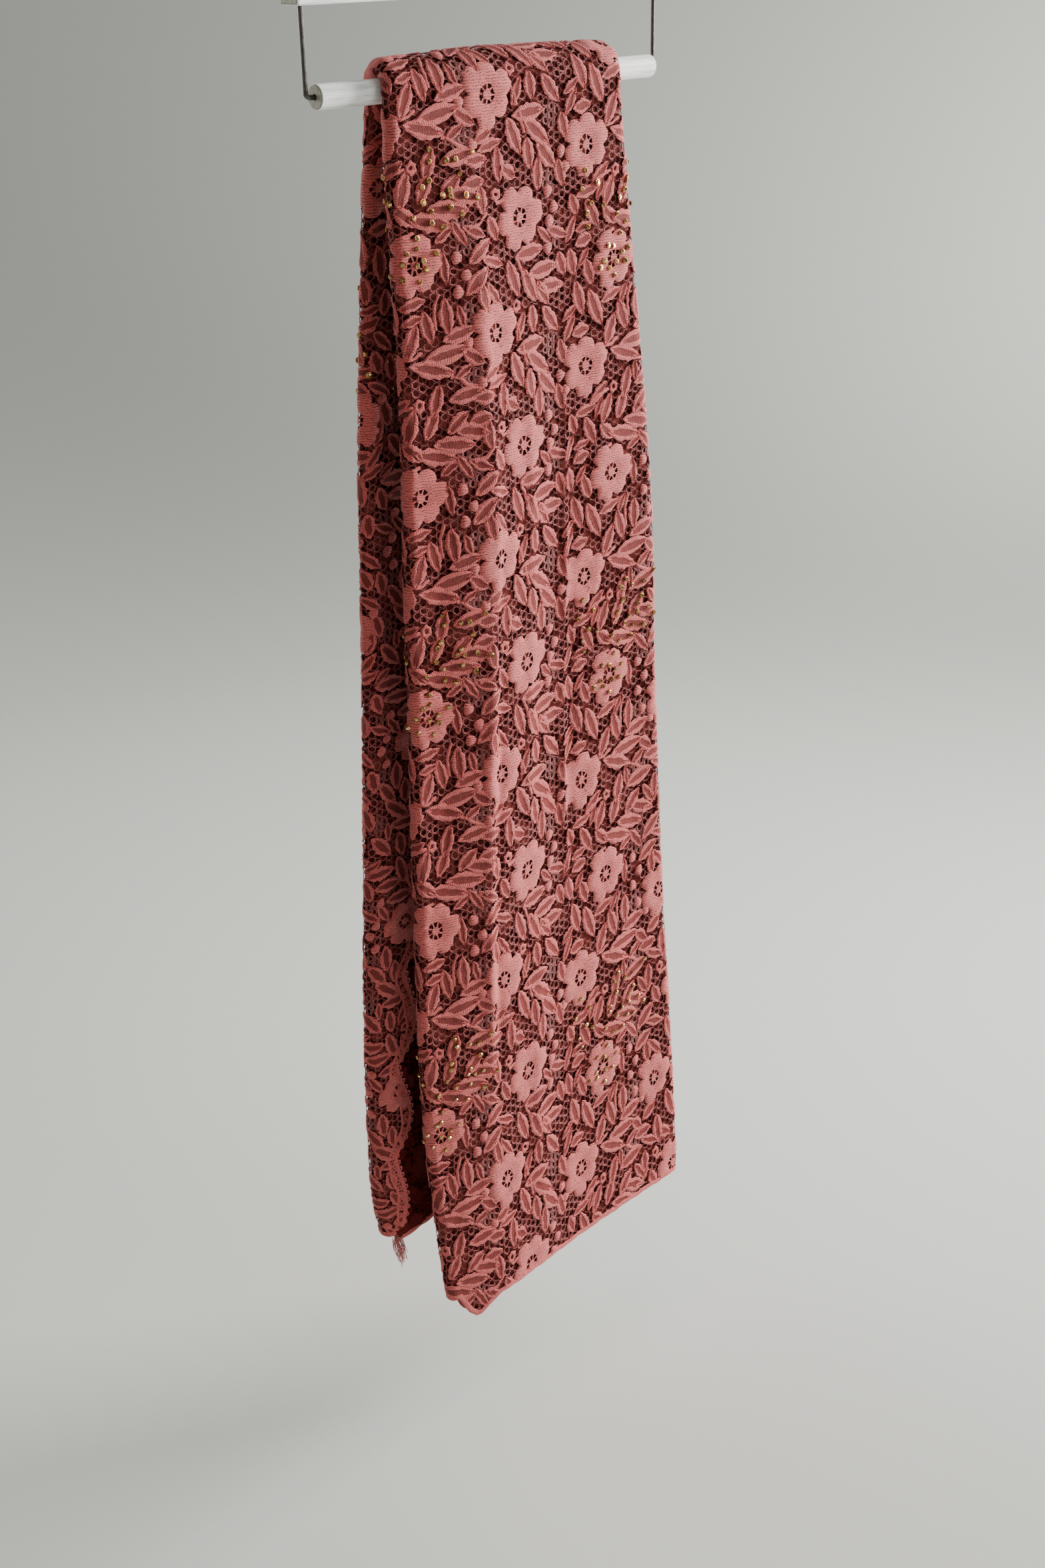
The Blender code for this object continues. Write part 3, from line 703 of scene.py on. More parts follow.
def makeLeaf():
    # a grid pulled to two points, with a raised ribbed band round a sunk panel
    settings = stitches["leaf"]
    columns, rows, length = settings["columns"], settings["rows"], settings["length"]
    near, aside = 0.02, 100
    deselectAll()
    bpy.ops.mesh.primitive_grid_add(x_subdivisions=columns, y_subdivisions=len(rows) - 1, size=1)
    leaf = bpy.context.object
    leaf.scale = (length, 2.0, 1.0)
    sized(leaf)
    for k, (row, lift) in enumerate(zip(rows, settings["lifts"])):
        start = -1.0 + 2 * k / (len(rows) - 1)
        adjust(leaf, lambda co: abs(co.y - start) < near, move=(0, aside + row - start, lift))
    adjust(leaf, lambda co: True, move=(0, -aside, 0))
    for k in range(columns + 1):
        x = length * (k / columns - 0.5)
        wide = settings["width"] / 2 * leafReach(min(k, columns - k) / (columns / 2))
        adjust(leaf, lambda co: abs(co.x - x) < near, scale=(1, wide, 1))
        jag = 1 + settings["jag"] * (1 if k % 2 else -1)
        adjust(leaf, lambda co: abs(co.x - x) < near and abs(co.y) > wide * 0.9, scale=(1, jag, 1))

    def slotOf(centre):
        # the sunk panel is the material after the band's
        part = 1 - abs(centre[0]) / (length / 2)
        edge = settings["width"] / 2 * leafReach(part)
        return 1 if abs(centre[1]) < rows[4] * edge and part > settings["panelFrom"] else 0

    return takeStitch(leaf, slotOf)


def makeFlower():
    # rings drawn in from the petals' rim to the open eye, then a filled disc on spokes
    settings = stitches["flower"]
    petals, reach, eye, disc = (settings[key] for key in ("petals", "outer", "eye", "disc"))
    count = petals * 8
    deselectAll()
    bpy.ops.mesh.primitive_circle_add(vertices=count, radius=reach, fill_type="NOTHING")
    flower = bpy.context.object
    bpy.ops.object.mode_set(mode="EDIT")
    now, level = 1.0, 0.0
    for radius, lift in settings["rings"] + ((eye / reach, settings["eyeLift"]),):
        drawIn(radius / now, lift - level)
        now, level = radius, lift
    bpy.ops.object.mode_set(mode="OBJECT")
    for k in range(count):
        angle = 2 * math.pi * k / count
        lobe = abs(math.sin(petals * angle / 2))
        pull = settings["uneven"][k // 8] * (1 - settings["valley"] * (1 - lobe) ** 2.2)
        pull *= 1 + 0.022 * math.sin(k * 2.6) + 0.018 * math.sin(k * 4.1 + 1)
        spoke = Vector((math.cos(angle), math.sin(angle), 0))
        adjust(flower, lambda co: co.dot(spoke) > reach * 0.6 and abs(co.cross(spoke).z) < 0.05,
               scale=(pull, pull, 1))
    adjust(flower, lambda co: co.z < 0.01, move=(0, 0, settings["foot"]))
    deselectAll()
    bpy.ops.mesh.primitive_circle_add(vertices=12, radius=disc, fill_type="TRIFAN",
                                      location=(0, 0, settings["discLift"]))
    parts = [sized(bpy.context.object)]
    middle = (disc + eye) / 2
    for k in range(settings["spokes"]):
        angle = 2 * math.pi * k / settings["spokes"]
        place = (middle * math.cos(angle), middle * math.sin(angle), settings["spokeLift"])
        bpy.ops.mesh.primitive_plane_add(size=1, location=place, rotation=(0, 0, angle))
        bpy.context.object.scale = (eye - disc + 1.0, 1.0, 1)
        parts.append(sized(bpy.context.object))
    deselectAll()
    for part in parts + [flower]:
        part.select_set(True)
    bpy.context.view_layer.objects.active = flower
    bpy.ops.object.join()
    return takeStitch(flower)


def everyOther(co, sides):
    # whether a corner is one of every other one round the middle
    return round(math.degrees(math.atan2(co.y, co.x)) / (360 / sides)) % 2 == 0


def makeDot():
    settings = stitches["dot"]
    sides, waist = settings["sides"], settings["waist"]
    deselectAll()
    bpy.ops.mesh.primitive_circle_add(vertices=sides, radius=settings["radius"], fill_type="NGON")
    dot = bpy.context.object
    selectVerts(dot, lambda co: True)
    bpy.ops.mesh.inset(thickness=settings["radius"] * settings["rim"])
    bpy.ops.transform.translate(value=(0, 0, settings["crest"]))
    bpy.ops.mesh.poke()
    bpy.ops.object.mode_set(mode="OBJECT")
    adjust(dot, lambda co: co.z < 0.1 and everyOther(co, sides), scale=(waist, waist, 1))
    return takeStitch(dot)


def makeRinglet():
    settings = stitches["ringlet"]
    outer, sides, waist = settings["outer"], settings["sides"], settings["waist"]
    deselectAll()
    bpy.ops.mesh.primitive_circle_add(vertices=sides, radius=outer, fill_type="NGON")
    ringlet = bpy.context.object
    selectVerts(ringlet, lambda co: True)
    for rise in (settings["crest"], -settings["crest"]):
        bpy.ops.mesh.inset(thickness=(outer - settings["inner"]) / 2)
        bpy.ops.transform.translate(value=(0, 0, rise))
    bpy.ops.mesh.delete(type="FACE")
    bpy.ops.object.mode_set(mode="OBJECT")
    adjust(ringlet, lambda co: math.hypot(co.x, co.y) > outer * 0.95 and everyOther(co, sides),
           scale=(waist, waist, 1))
    return takeStitch(ringlet)


# Two kinds of column take turns. Each has one flower at 0, 0 and one lower down to its right, in
# millimetres to the right and down. A leaf is the place of its middle, its turn (0 is to the right,
# 90 is down) and its length.
repeat = {
    "height": 137.0, "column": 80.0, "firstColumn": -341.0, "columns": 11,
    "phases": (0.26, 0.0, 0.14, 0.0), "firstPhase": 3,
    "flowers": ((0, 0, 8), (24, 72.5, 25)),
    "rising": {
        "leaves": ( (45, -33, 87, 20), (32, -28, 73, 19), (53, -22, -17, 22), (44, -11, -8, 28),
            (21, -20, -68, 20), (8, -36, 69, 24), (-6, -44, 74, 21), (34, -3, 15, 27),
            (-4, -23, -12, 14), (36, 16, -78, 20), (32, 30, -66, 18), (56, 14, -15, 24),
            (50, 30, -44, 18), (60, 36, 14, 22), (18, 30, -71, 20), (48, 43, 9, 26),
            (35, 49, 13, 27), (4, 42, 57, 20), (-11, 35, 65, 14), (-3, 58, -20, 14),
            (19, 45, 40, 15), (-13, 70, 80, 16), (-15, -8, 95, 17), (2, 78, 70, 16),
            (62, -8, 35, 15), ),
        "dots": ((53, 70.5), (60, 81.5), (54, 90.5), (-17, 12), (-21, 2)),
        "ringlets": ((24.5, 17.5),),
        "cords": (((46, 2), (52, 4), (58, 8), (64, 9)), ((20, 18), (10, 21), (2, 26), (-4, 27)),
                  ((28, -14), (20, -10), (12, -12)), ((40, -46), (37, -38), (38, -26)),
                  ((24, 54), (16, 58), (10, 64))),
        # a closer mesh inside these ovals: middle, half width, half height
        "meshes": ((58, -33, 10, 7), (58, 4, 12, 7), (60, 60, 8, 8)),
    },
    "falling": {
        "leaves": ( (31, -43, -4, 22), (42, -31, -3, 22), (49, -20, -1, 21), (42, -17, 57, 17),
            (31, -23, 65, 22), (17, -29.5, 67, 23), (33, -3, 79, 17), (49, 0, 48, 21),
            (31, 12.5, -2, 23), (37.5, 24, 38, 25), (46, 38.5, 49, 21), (19, 25, 66, 23),
            (31, 36, 82, 18), (39, 49, 86, 19), (6, 40, 83, 21), (-10, -49, -40, 20),
            (-12.5, -32, -37, 20), (-8, -22, 80, 16), (-5, 23, -30, 14), (-11, 36, -5, 16),
            (-14, 49, -11, 16), (-8, 59, 85, 16), (58, -32, 70, 15), (60, 22, 70, 16),
            (58, 50, 75, 16), (1, 76, 60, 15), (14, 45, 30, 13), ),
        "dots": ((47, -43), (48, 60), (53, 70), (49, 78), (-14, -8.5), (-20.6, 3), (-13, 11),
                 (-12.5, 27)),
        "ringlets": ((19, -13), (4, 57)),
        "cords": (((20, -42), (24, -34), (26, -26)), ((24, 10), (26, 18), (28, 24)),
                  ((4, 62), (12, 60), (20, 55)),
                  ((14, -8), (20, 0), (22, 8)), ((-4, 66), (-10, 72), (-18, 74))),
        "meshes": ((-25, -62, 9, 7), (52, 15, 7, 8), (54, -48, 5, 8), (49, 52, 4, 7)),
    },
    # small leaves, tried last wherever there is room: steps to the right and down, and their sizes
    "buds": {"steps": (11, 9.5), "sizes": ((0.8, 0.72), (0.62, 0.6))},
    # how much of its place may be covered: a motif, a small leaf, a net cell
    "skipOver": 0.36, "budOver": 0.07, "netOver": 0.9,
    # the plan of what is covered: its step, and its margin at the left
    "fine": 0.5, "margin": 60, "cordWidth": 2.2, "cordCrest": 0.7,
    # motifs against their stitches' own size, and how a leaf's width grows with its length
    "flowerSize": (1.0, 1.04), "dotSize": (1.0, 1.05), "leafLong": 1.09,
    "leafWide": (0.76, 0.011),
}


def turned(points, degrees):
    angle = math.radians(degrees)
    return points @ np.array([[math.cos(angle), math.sin(angle)],
                              [-math.sin(angle), math.cos(angle)]])


def footprint(kind, size):
    # sample places that a motif covers, about its own centre
    reach = {"leaf": (stitches["leaf"]["length"] / 2, stitches["leaf"]["width"] / 2),
             "flower": (16.0, 16.0),
             "dot": (3.7, 3.7), "ringlet": (4.1, 4.1)}[kind]
    halfX, halfY = reach[0] * size[0], reach[1] * size[1]
    u, v = np.meshgrid(np.arange(-halfX, halfX, 0.4) / halfX, np.arange(-halfY, halfY, 0.4) / halfY)
    u, v = u.ravel(), v.ravel()
    keep = abs(v) < (1 - abs(u)) ** 0.55 if kind == "leaf" else u * u + v * v < 1
    return np.stack([u[keep] * halfX, v[keep] * halfY], -1)


def layStitch(rows, stitch, x, y, turn, size, slot=0):
    # one copy of a stitch in the flat layout, where y is up
    own = stitch["points"][:, :2] * size
    points = np.column_stack([turned(own, turn) + (x, y), stitch["points"][:, 2]])
    addRows(rows, points, stitch["triangles"], slots=stitch["slots"] + slot, run=own)


def smoothLine(path, steps=5):
    path = np.array(path, float)
    at = np.linspace(0, len(path) - 1, steps * (len(path) - 1) + 1)
    near = np.clip(at.astype(int), 0, len(path) - 2)
    t = (at - near)[:, None]
    before, beyond = path[np.maximum(near - 1, 0)], path[np.minimum(near + 2, len(path) - 1)]
    here, after = path[near], path[near + 1]
    return 0.5 * (2 * here + (after - before) * t
                  + (2 * before - 5 * here + 4 * after - beyond) * t**2
                  + (3 * here - before - 3 * after + beyond) * t**3)


def layCord(rows, line, width, crest, slot=0):
    # a ridged ribbon along a line
    ahead = np.gradient(line, axis=0)
    side = unit(np.stack([-ahead[:, 1], ahead[:, 0]], -1)) * width / 2
    foot, count = 0.1, len(line)
    rails = ((line + side, foot), (line, crest), (line - side, foot))
    points = [np.column_stack([rail, np.full(count, level)]) for rail, level in rails]
    points = np.stack(points, 1).reshape(-1, 3)
    k = np.repeat(np.arange(count - 1) * 3, 2) + np.tile([0, 1], count - 1)
    triangles = np.concatenate([np.stack([k, k + 1, k + 3], -1),
                                np.stack([k + 1, k + 4, k + 3], -1)])
    length = np.concatenate([[0], np.cumsum(np.linalg.norm(np.diff(line, axis=0), axis=1))])
    run = np.column_stack([np.repeat(length, 3), np.tile([-1.0, 0.0, 1.0], count)])
    addRows(rows, points, facingUp(points, triangles), slots=np.full(len(triangles), slot), run=run)


def columnBases():
    # where each column's first flower is, flat, and which kind of column it is
    for k in range(repeat["columns"]):
        order = (k + repeat["firstPhase"]) % 4
        x = repeat["firstColumn"] + k * repeat["column"]
        yield k, x, repeat["phases"][order] * repeat["height"], "falling" if order % 2 else "rising"


def chartMotifs(kind):
    # every motif of a column: kind, x, y, turn, and its length and width against the stitch's own
    chart = repeat[kind]
    for x, y, turn in repeat["flowers"]:
        yield "flower", x, y, turn, repeat["flowerSize"]
    for x, y, turn, length in chart["leaves"]:
        long = repeat["leafLong"] * length / stitches["leaf"]["length"]
        least, growth = repeat["leafWide"]
        yield "leaf", x, y, turn, (long, least + growth * length)
    for x, y in chart["dots"]:
        yield "dot", x, y, 7 * x, repeat["dotSize"]
    for x, y in chart["ringlets"]:
        yield "ringlet", x, y, 0, (1.0, 1.0)


def inCloseMesh(bases, x, y):
    # whether a place lies in one of the chart's ovals of closer mesh
    height = repeat["height"]
    for _, baseX, baseY, column in bases:
        for ovalX, ovalY, halfX, halfY in repeat[column]["meshes"]:
            down = (y - baseY - ovalY + height / 2) % height - height / 2
            if ((x - baseX - ovalX) / halfX) ** 2 + (down / halfY) ** 2 < 1:
                return True
    return False


def layRepeat():
    # one band of the lace, a repeat high and the whole cloth wide
    made = {"leaf": makeLeaf(), "flower": makeFlower(), "dot": makeDot(), "ringlet": makeRinglet()}
    slotOf = {"flower": 0, "leaf": 1, "dot": 0, "ringlet": 3}
    fine, left = repeat["fine"], repeat["firstColumn"] - repeat["margin"]
    wide = int((repeat["columns"] * repeat["column"] + repeat["margin"]) / fine)
    high = int(repeat["height"] / fine)
    covered = np.zeros((high, wide), bool)
    flowers, leaves, net = emptyRows(), emptyRows(), emptyRows()
    bases = list(columnBases())
    counts = dict.fromkeys(made, 0)

    def cells(points):
        columns = ((points[:, 0] - left) / fine).astype(int)
        lines = (-points[:, 1] / fine).astype(int) % high
        inside = (columns >= 0) & (columns < wide)
        return lines[inside], columns[inside]

    def place(kind, k, x, y, turn, size, limit):
        # a motif goes on unless more than the limit of its place is covered
        wobble = math.sin(k * 2.3 + x * 0.7 + y * 0.31)
        size = np.array(size) * (1 + 0.04 * wobble)
        angle = -turn + 4 * wobble
        spots = cells(turned(footprint(kind, size), angle) + (x, -y))
        if len(spots[0]) and covered[spots].mean() <= limit:
            covered[spots] = True
            rows = leaves if kind == "leaf" else flowers
            layStitch(rows, made[kind], x, -y, angle, size, slotOf[kind])
            counts[kind] += 1

    for wanted in ("flower", "leaf", "dot", "ringlet"):
        limit = 1.0 if wanted == "flower" else repeat["skipOver"]
        for k, baseX, baseY, column in bases:
            for kind, x, y, turn, size in chartMotifs(column):
                if kind == wanted:
                    place(kind, k, baseX + x, baseY + y, turn, size, limit)
    stepX, stepY = repeat["buds"]["steps"]
    for size in repeat["buds"]["sizes"]:
        for k, baseX, baseY, column in bases:
            for x in np.arange(0, repeat["column"], stepX):
                for y in np.arange(0, repeat["height"], stepY):
                    turn = 90 + 75 * math.sin(x * 0.13 + y * 0.05)
                    place("leaf", k, baseX + x, baseY + y, turn, size, repeat["budOver"])
    for k, baseX, baseY, column in bases:
        for path in repeat[column]["cords"]:
            line = smoothLine([(baseX + x, -(baseY + y)) for x, y in path])
            layCord(flowers, line, repeat["cordWidth"], repeat["cordCrest"], 3)

    settings = stitches["net"]
    plain, slotted = makeNetCell(), makeNetCell(settings["slot"])
    wideOpen = makeNetCell(settings["wide"])
    across, rise = 1.5 * settings["radius"], repeat["height"] / settings["lines"]
    squash = np.array((1.0, rise / (settings["radius"] * math.sqrt(3))))
    around = np.array([(r * math.cos(a), r * math.sin(a)) for r in (1.2, 2.6)
                       for a in np.arange(0, 6.28, 0.785)])
    for k in range(int(wide * fine / across)):
        for j in range(settings["lines"]):
            x, y = left + k * across, -(j + 0.5 * (k % 2)) * rise
            hidden = covered[cells(around + (x, y))].mean()
            if hidden > repeat["netOver"]:
                continue
            close = inCloseMesh(bases, x, -y)
            cell = slotted if close else wideOpen if hidden > 0.1 else plain
            layStitch(net, cell, x, y, 0, squash, int(close))
    print("repeat:", counts, "and", len(net["points"]), "net cells, covered",
          round(float(covered.mean()), 3))
    return joined(flowers), joined(leaves), joined(net)


# how the repeats lie along the hung cloth: where the first one starts, how long each is, how much
# longer they get towards the front hem, how much shorter at the sides, and how far they lean aside
hang = {
    "start": 5, "pitch": 131.2, "longer": (2.0, 0.35), "middle": -20, "half": 75,
    "shorter": 0.015, "reach": 860, "lean": 12.0, "leanReach": 700, "bands": (-7, 7),
    # how far the lace keeps off the selvages and hems, and where the back's second layer starts
    "edgeGap": 1.0, "hemGap": 0.6, "underFrom": 4,
}


def clothRun(across, down):
    turns = down / repeat["height"]
    even = hang["start"] + hang["pitch"] * turns
    longer = even + hang["longer"][0] * turns**2 + hang["longer"][1] * turns**3
    run = np.where(turns > 0, longer, even)
    sides = np.clip(np.abs(across - hang["middle"]) / hang["half"], 0, 1) ** 1.5
    return run - hang["shorter"] * np.clip(run, 0, hang["reach"]) * sides


def clothAcross(x, run):
    return x - hang["lean"] * np.clip(run, 0, hang["leanReach"]) / hang["leanReach"]


def coverCloth(flat, paintedShadeSlot):
    # repeats the band along the whole cloth, hangs it, and cuts it at the cloth's edges. Its second
    # argument is the slot of the darker lace: painted shade on the back drop's second layer,
    # between the drops.
    rows = emptyRows()
    for k in range(*hang["bands"]):
        x, down = flat["points"][:, 0], -flat["points"][:, 1] + k * repeat["height"]
        # no two repeats are sewn quite alike
        moved = down + 0.3 * np.sin(x * 0.83 - down * 0.41) + 0.25 * np.sin(x * 0.29 + down * 0.7)
        x = x + 0.3 * np.sin(down * 0.9 + x * 0.37) + 0.5 * np.sin(down / 17.0 + x / 23.0)
        run = clothRun(x, moved)
        across = clothAcross(x, run)
        low, far = acrossLimits(run)
        gap = hang["hemGap"]
        inside = (across > low + hang["edgeGap"]) & (across < far)
        inside &= (run < hemRun(across, 1) - gap) & (run > hemRun(across, -1) + gap)
        keep = inside[flat["triangles"]].all(1)
        if not keep.any():
            continue
        band = cutRows(dict(flat, cloth=np.column_stack([across, down]), along=run), keep)
        across, run = band["cloth"][:, 0], band["along"]
        _, finish, _, _, _, rightGirth = foldLengths(sectionAt(run))
        # the back drop's second layer takes the slot with painted shade
        under = across > finish + rightGirth + hang["underFrom"]
        under &= run < -packet["overRod"]
        band["slots"] = np.where(under[band["triangles"]].any(1), paintedShadeSlot, band["slots"])
        band["points"] = clothPoint(across, run, band["points"][:, 2])
        addRows(rows, **band)
    return joined(rows)


def splitStretches(hung, name, materials):
    # one object for the front drop, one for the way over the rod, one for the back drop
    pieces = []
    reach = packet["overRod"]
    middle = hung["along"][hung["triangles"]].mean(1)
    spans = {"front": (0.0, 1e4), "over_rod": (-reach, 0.0), "back": (-1e4, -reach)}
    for label, (low, high) in spans.items():
        part = cutRows(hung, (middle >= low) & (middle < high))
        item = meshFrom(f"{name}_{label}", part, materials)
        print(item.name, len(item.data.polygons), "triangles")
        pieces.append(item)
    return pieces


# The shell under the stitches: the whole cloth in one sheet, with its flap, left fold, face, right
# fold, second layer, and the third one that turns back inside.
shell = {
    "depth": -1.05, "wall": 0.6, "rows": (96, 16, 88), "flap": 14, "fold": 6, "face": 66,
    "under": 24, "innerFold": 4, "inner": 14, "innerInset": 16.0, "innerReach": 0.9,
    "innerShort": 0.994,
}


def evenSteps(count):
    # equal steps up to 1, without the start
    return np.linspace(0, 1, count + 1)[1:]


def levelRun(level, stations, onFlap=False):
    # level is 1 at the front hem, 0 and -1 at the rod, and -2 at the back hem
    if -1 < level < 0:
        return np.full_like(stations, level * packet["overRod"])
    drop, share = ("front", level) if level >= 0 else ("back", -1 - level)
    down = share * packet[drop + "Length"] * hemShare(drop, stations)
    if onFlap:
        down = np.minimum(down, share * packet[drop + "SelvageEnd"])
    return down if level >= 0 else -packet["overRod"] - down


def shellPlaces():
    # across and run for a grid over the cloth, with its true edges
    front, over, back = shell["rows"]
    levels = np.concatenate([np.linspace(1, 0, front + 1)[:-1], np.linspace(0, -1, over + 1)[:-1],
                             np.linspace(-1, -2, back + 1)])
    stations = np.linspace(0, 1, shell["face"] + 1)
    fold = evenSteps(shell["fold"])
    blend = fold - 1 / shell["fold"]
    across, run = [], []
    for level in levels:
        faceRun = levelRun(level, stations)
        row = sectionAt(faceRun)
        start, finish, _, _, leftGirth, rightGirth = foldLengths(row)
        flapRun = levelRun(level, np.zeros(shell["flap"]), True)
        beginning = start[0] - leftGirth[0]
        low = acrossLimits(flapRun)[0]
        right, width = finish[-1] + rightGirth[-1], finish[-1] - start[-1] - packet["underInset"]
        girth = innerTurn(row)[2][-1]
        end = right + width + girth
        inside = width - shell["innerInset"]
        across.append(np.concatenate([
            beginning - (beginning - low) * evenSteps(shell["flap"])[::-1],
            beginning + leftGirth[0] * blend, start + stations * (finish - start),
            finish[-1] + rightGirth[-1] * fold, right + width * evenSteps(shell["under"]),
            right + width + girth * evenSteps(shell["innerFold"]),
            end + inside * evenSteps(shell["inner"])]))
        run.append(np.concatenate([
            flapRun, flapRun[0] + (faceRun[0] - flapRun[0]) * blend, faceRun,
            np.full(shell["fold"], faceRun[-1]), levelRun(level, 1 - evenSteps(shell["under"])),
            np.full(shell["innerFold"], faceRun[0]),
            levelRun(level, evenSteps(shell["inner"]) * shell["innerReach"])
            * shell["innerShort"]]))
    return np.array(across), np.array(run)


def makeShell(materials):
    deselectAll()
    across, run = shellPlaces()
    lines, columns = across.shape
    bpy.ops.mesh.primitive_grid_add(x_subdivisions=columns - 1, y_subdivisions=lines - 1, size=1)
    item = bpy.context.object
    item.name = "shawl"
    mesh = item.data
    flat = np.empty(len(mesh.vertices) * 3)
    mesh.vertices.foreach_get("co", flat)
    flat = flat.reshape(-1, 3)
    column = np.rint((flat[:, 0] + 0.5) * (columns - 1)).astype(int)
    line = np.rint((flat[:, 1] + 0.5) * (lines - 1)).astype(int)
    hung = clothPoint(across[line, column], run[line, column], shell["depth"])
    mesh.vertices.foreach_set("co", hung.ravel())
    for layer in list(mesh.uv_layers):
        mesh.uv_layers.remove(layer)
    places = np.column_stack([across[line, column], run[line, column]])
    corners = np.empty(len(mesh.loops), np.int32)
    mesh.loops.foreach_get("vertex_index", corners)
    layer = mesh.uv_layers.new(name="cloth")
    layer.data.foreach_set("uv", places[corners].astype(np.float32).ravel())
    for material in materials:
        mesh.materials.append(material)
    mesh.update()
    pickOnly(item)
    bpy.ops.object.modifier_add(type="SOLIDIFY")
    wall = item.modifiers[-1]
    wall.thickness = shell["wall"] * millimetre
    # the inner face and the rims take the second, darker material: painted shade inside the folds
    wall.offset = -1
    wall.material_offset = 1
    wall.material_offset_rim = 1
    bpy.ops.object.modifier_apply(modifier=wall.name)
    bpy.ops.object.shade_smooth()
    print("shawl:", len(item.data.polygons), "quads")
    return item


def paintedShadeMaterial(name, hole, strand, motif):
    # the lace that lies deeper: its strands and flowers darkened by painted shade, its holes
    # painted near black
    material, tree, shader = newMaterial(name, {"Roughness": 0.9, "Specular IOR Level": 0.06})
    place = addNode(tree, "ShaderNodeUVMap", set_uv_map="cloth").outputs[0]
    moved = addNode(tree, "ShaderNodeMapping", Vector=place, Location=(3.1, 7.7, 0.0),
                    Scale=(0.22, 0.185, 1.0)).outputs[0]
    cells = addNode(tree, "ShaderNodeTexVoronoi", set_feature="DISTANCE_TO_EDGE", Vector=moved,
                    Scale=1.0, Randomness=0.55).outputs["Distance"]
    mesh = mapRange(tree, cells, 0.05, 0.2, 1.0, 0.0)
    petals = mapRange(tree, noise(tree, place, 0.06, 1.5), 0.52, 0.58, 0.0, 1.0)
    ground = mixColours(tree, mesh, linear(*hole), linear(*strand))
    colour = mixColours(tree, petals, ground, linear(*motif))
    connect(tree, shader, colour, bump=(mathNode(tree, "MAXIMUM", mesh, petals), 0.7, 0.001))
    return material


# hems, scalloped border and loose threads
edging = {
    # each of a hem's waves is a height and a reach
    "hemWidth": 4.4, "hemCrest": 0.8, "hemStep": 3.0, "hemLift": 0.15, "hemEnds": 2,
    "hemBack": 1.2, "hemWaves": ((0.35, 4.1), (0.25, 1.9)),
    # the flap's edge: two cords, and a row of small loops
    "borderStep": 2.0, "borderLift": 0.1,
    "cords": ((1.9, 0.0, 3.2), (8.8, 0.8, 2.2)), "cordCrest": 0.9,
    "picotPitch": 6.0, "picotEnds": 3, "picotSize": (0.5, 0.575), "picotGrowth": (1.15, 0.12),
    "picotInsets": (0.1, 5.6),
    # loose threads, from the back drop's rod-side corner: where they start and how far they reach
    "tuft": {"at": (-111.0, 11.0, -909.5), "threads": 46, "length": 25.0, "width": 0.5},
}


def hangFlat(name, rows, lift, material):
    # hangs what was laid flat, where y up is back along the run
    flat = joined(rows)
    across, run = flat["points"][:, 0], -flat["points"][:, 1]
    hung = clothPoint(across, run, flat["points"][:, 2] + lift)
    flat.update(points=hung, cloth=np.column_stack([across, run]), slots=flat["slots"] * 0)
    return meshFrom(name, flat, [material])


def makeHem(name, side, material):
    # the turned end, from the free selvage right round to the second layer
    low, high = acrossLimits(hemRun(np.array([0.0]), side))
    ends = edging["hemEnds"]
    across = np.arange(low[0] + ends, high[0] - ends, edging["hemStep"])
    wave = sum(height * np.sin(across / reach) for height, reach in edging["hemWaves"])
    run = hemRun(across, side) - side * edging["hemBack"] + wave
    rows = emptyRows()
    layCord(rows, np.column_stack([across, -run]), edging["hemWidth"], edging["hemCrest"])
    return hangFlat(name, rows, edging["hemLift"], material)


def makeBorder(name, first, last, material, picot):
    # the flap's edge: a thick outline thread, a thinner wavy one and a row of small loops
    run = np.arange(first, last, edging["borderStep"])
    low, _ = acrossLimits(run)
    rows = emptyRows()
    for inset, sway, width in edging["cords"]:
        line = np.column_stack([low + inset + sway * np.sin(run / 4.2), -run])
        layCord(rows, line, width, edging["cordCrest"])
    size, (grown, sway) = np.array(edging["picotSize"]), edging["picotGrowth"]
    near, far = edging["picotInsets"]
    ends = edging["picotEnds"]
    for k in np.arange(first + ends, last - ends, edging["picotPitch"]):
        edge = acrossLimits(np.array([k]))[0][0]
        layStitch(rows, picot, edge + near, -k, 0, size)
        layStitch(rows, picot, edge + far, -k - 1.5, 30 * math.sin(k),
                  size * (grown + sway * math.sin(k)))
    return hangFlat(name, rows, edging["borderLift"], material)


def makeThreads(name, starts, reaches, bends, material):
    # loose ends: thin ridged ribbons that droop from the cloth's edge
    width, count = edging["tuft"]["width"], 9
    t = np.linspace(0, 1, count)[:, None]
    rows, hung = emptyRows(), []
    for start, reach, bend in zip(starts, reaches, bends):
        line = np.array(start) + np.array(reach) * t + np.array(bend) * (t * (1 - t) * 4)
        line = line + 0.5 * np.sin(t * 9 + start[0])
        across = np.array((0.8, -0.6, 0.0)) * width / 2
        lift = np.array((-0.6, -0.8, 0.0)) * width / 2
        hung.append(np.stack([line + across, line + lift, line - across], 1).reshape(-1, 3))
        layCord(rows, np.column_stack([np.zeros(count), np.linspace(0, -9, count)]), width, 0.2)
    flat = joined(rows)
    flat.update(points=np.concatenate(hung) * millimetre, cloth=flat["run"])
    return meshFrom(name, flat, [material])


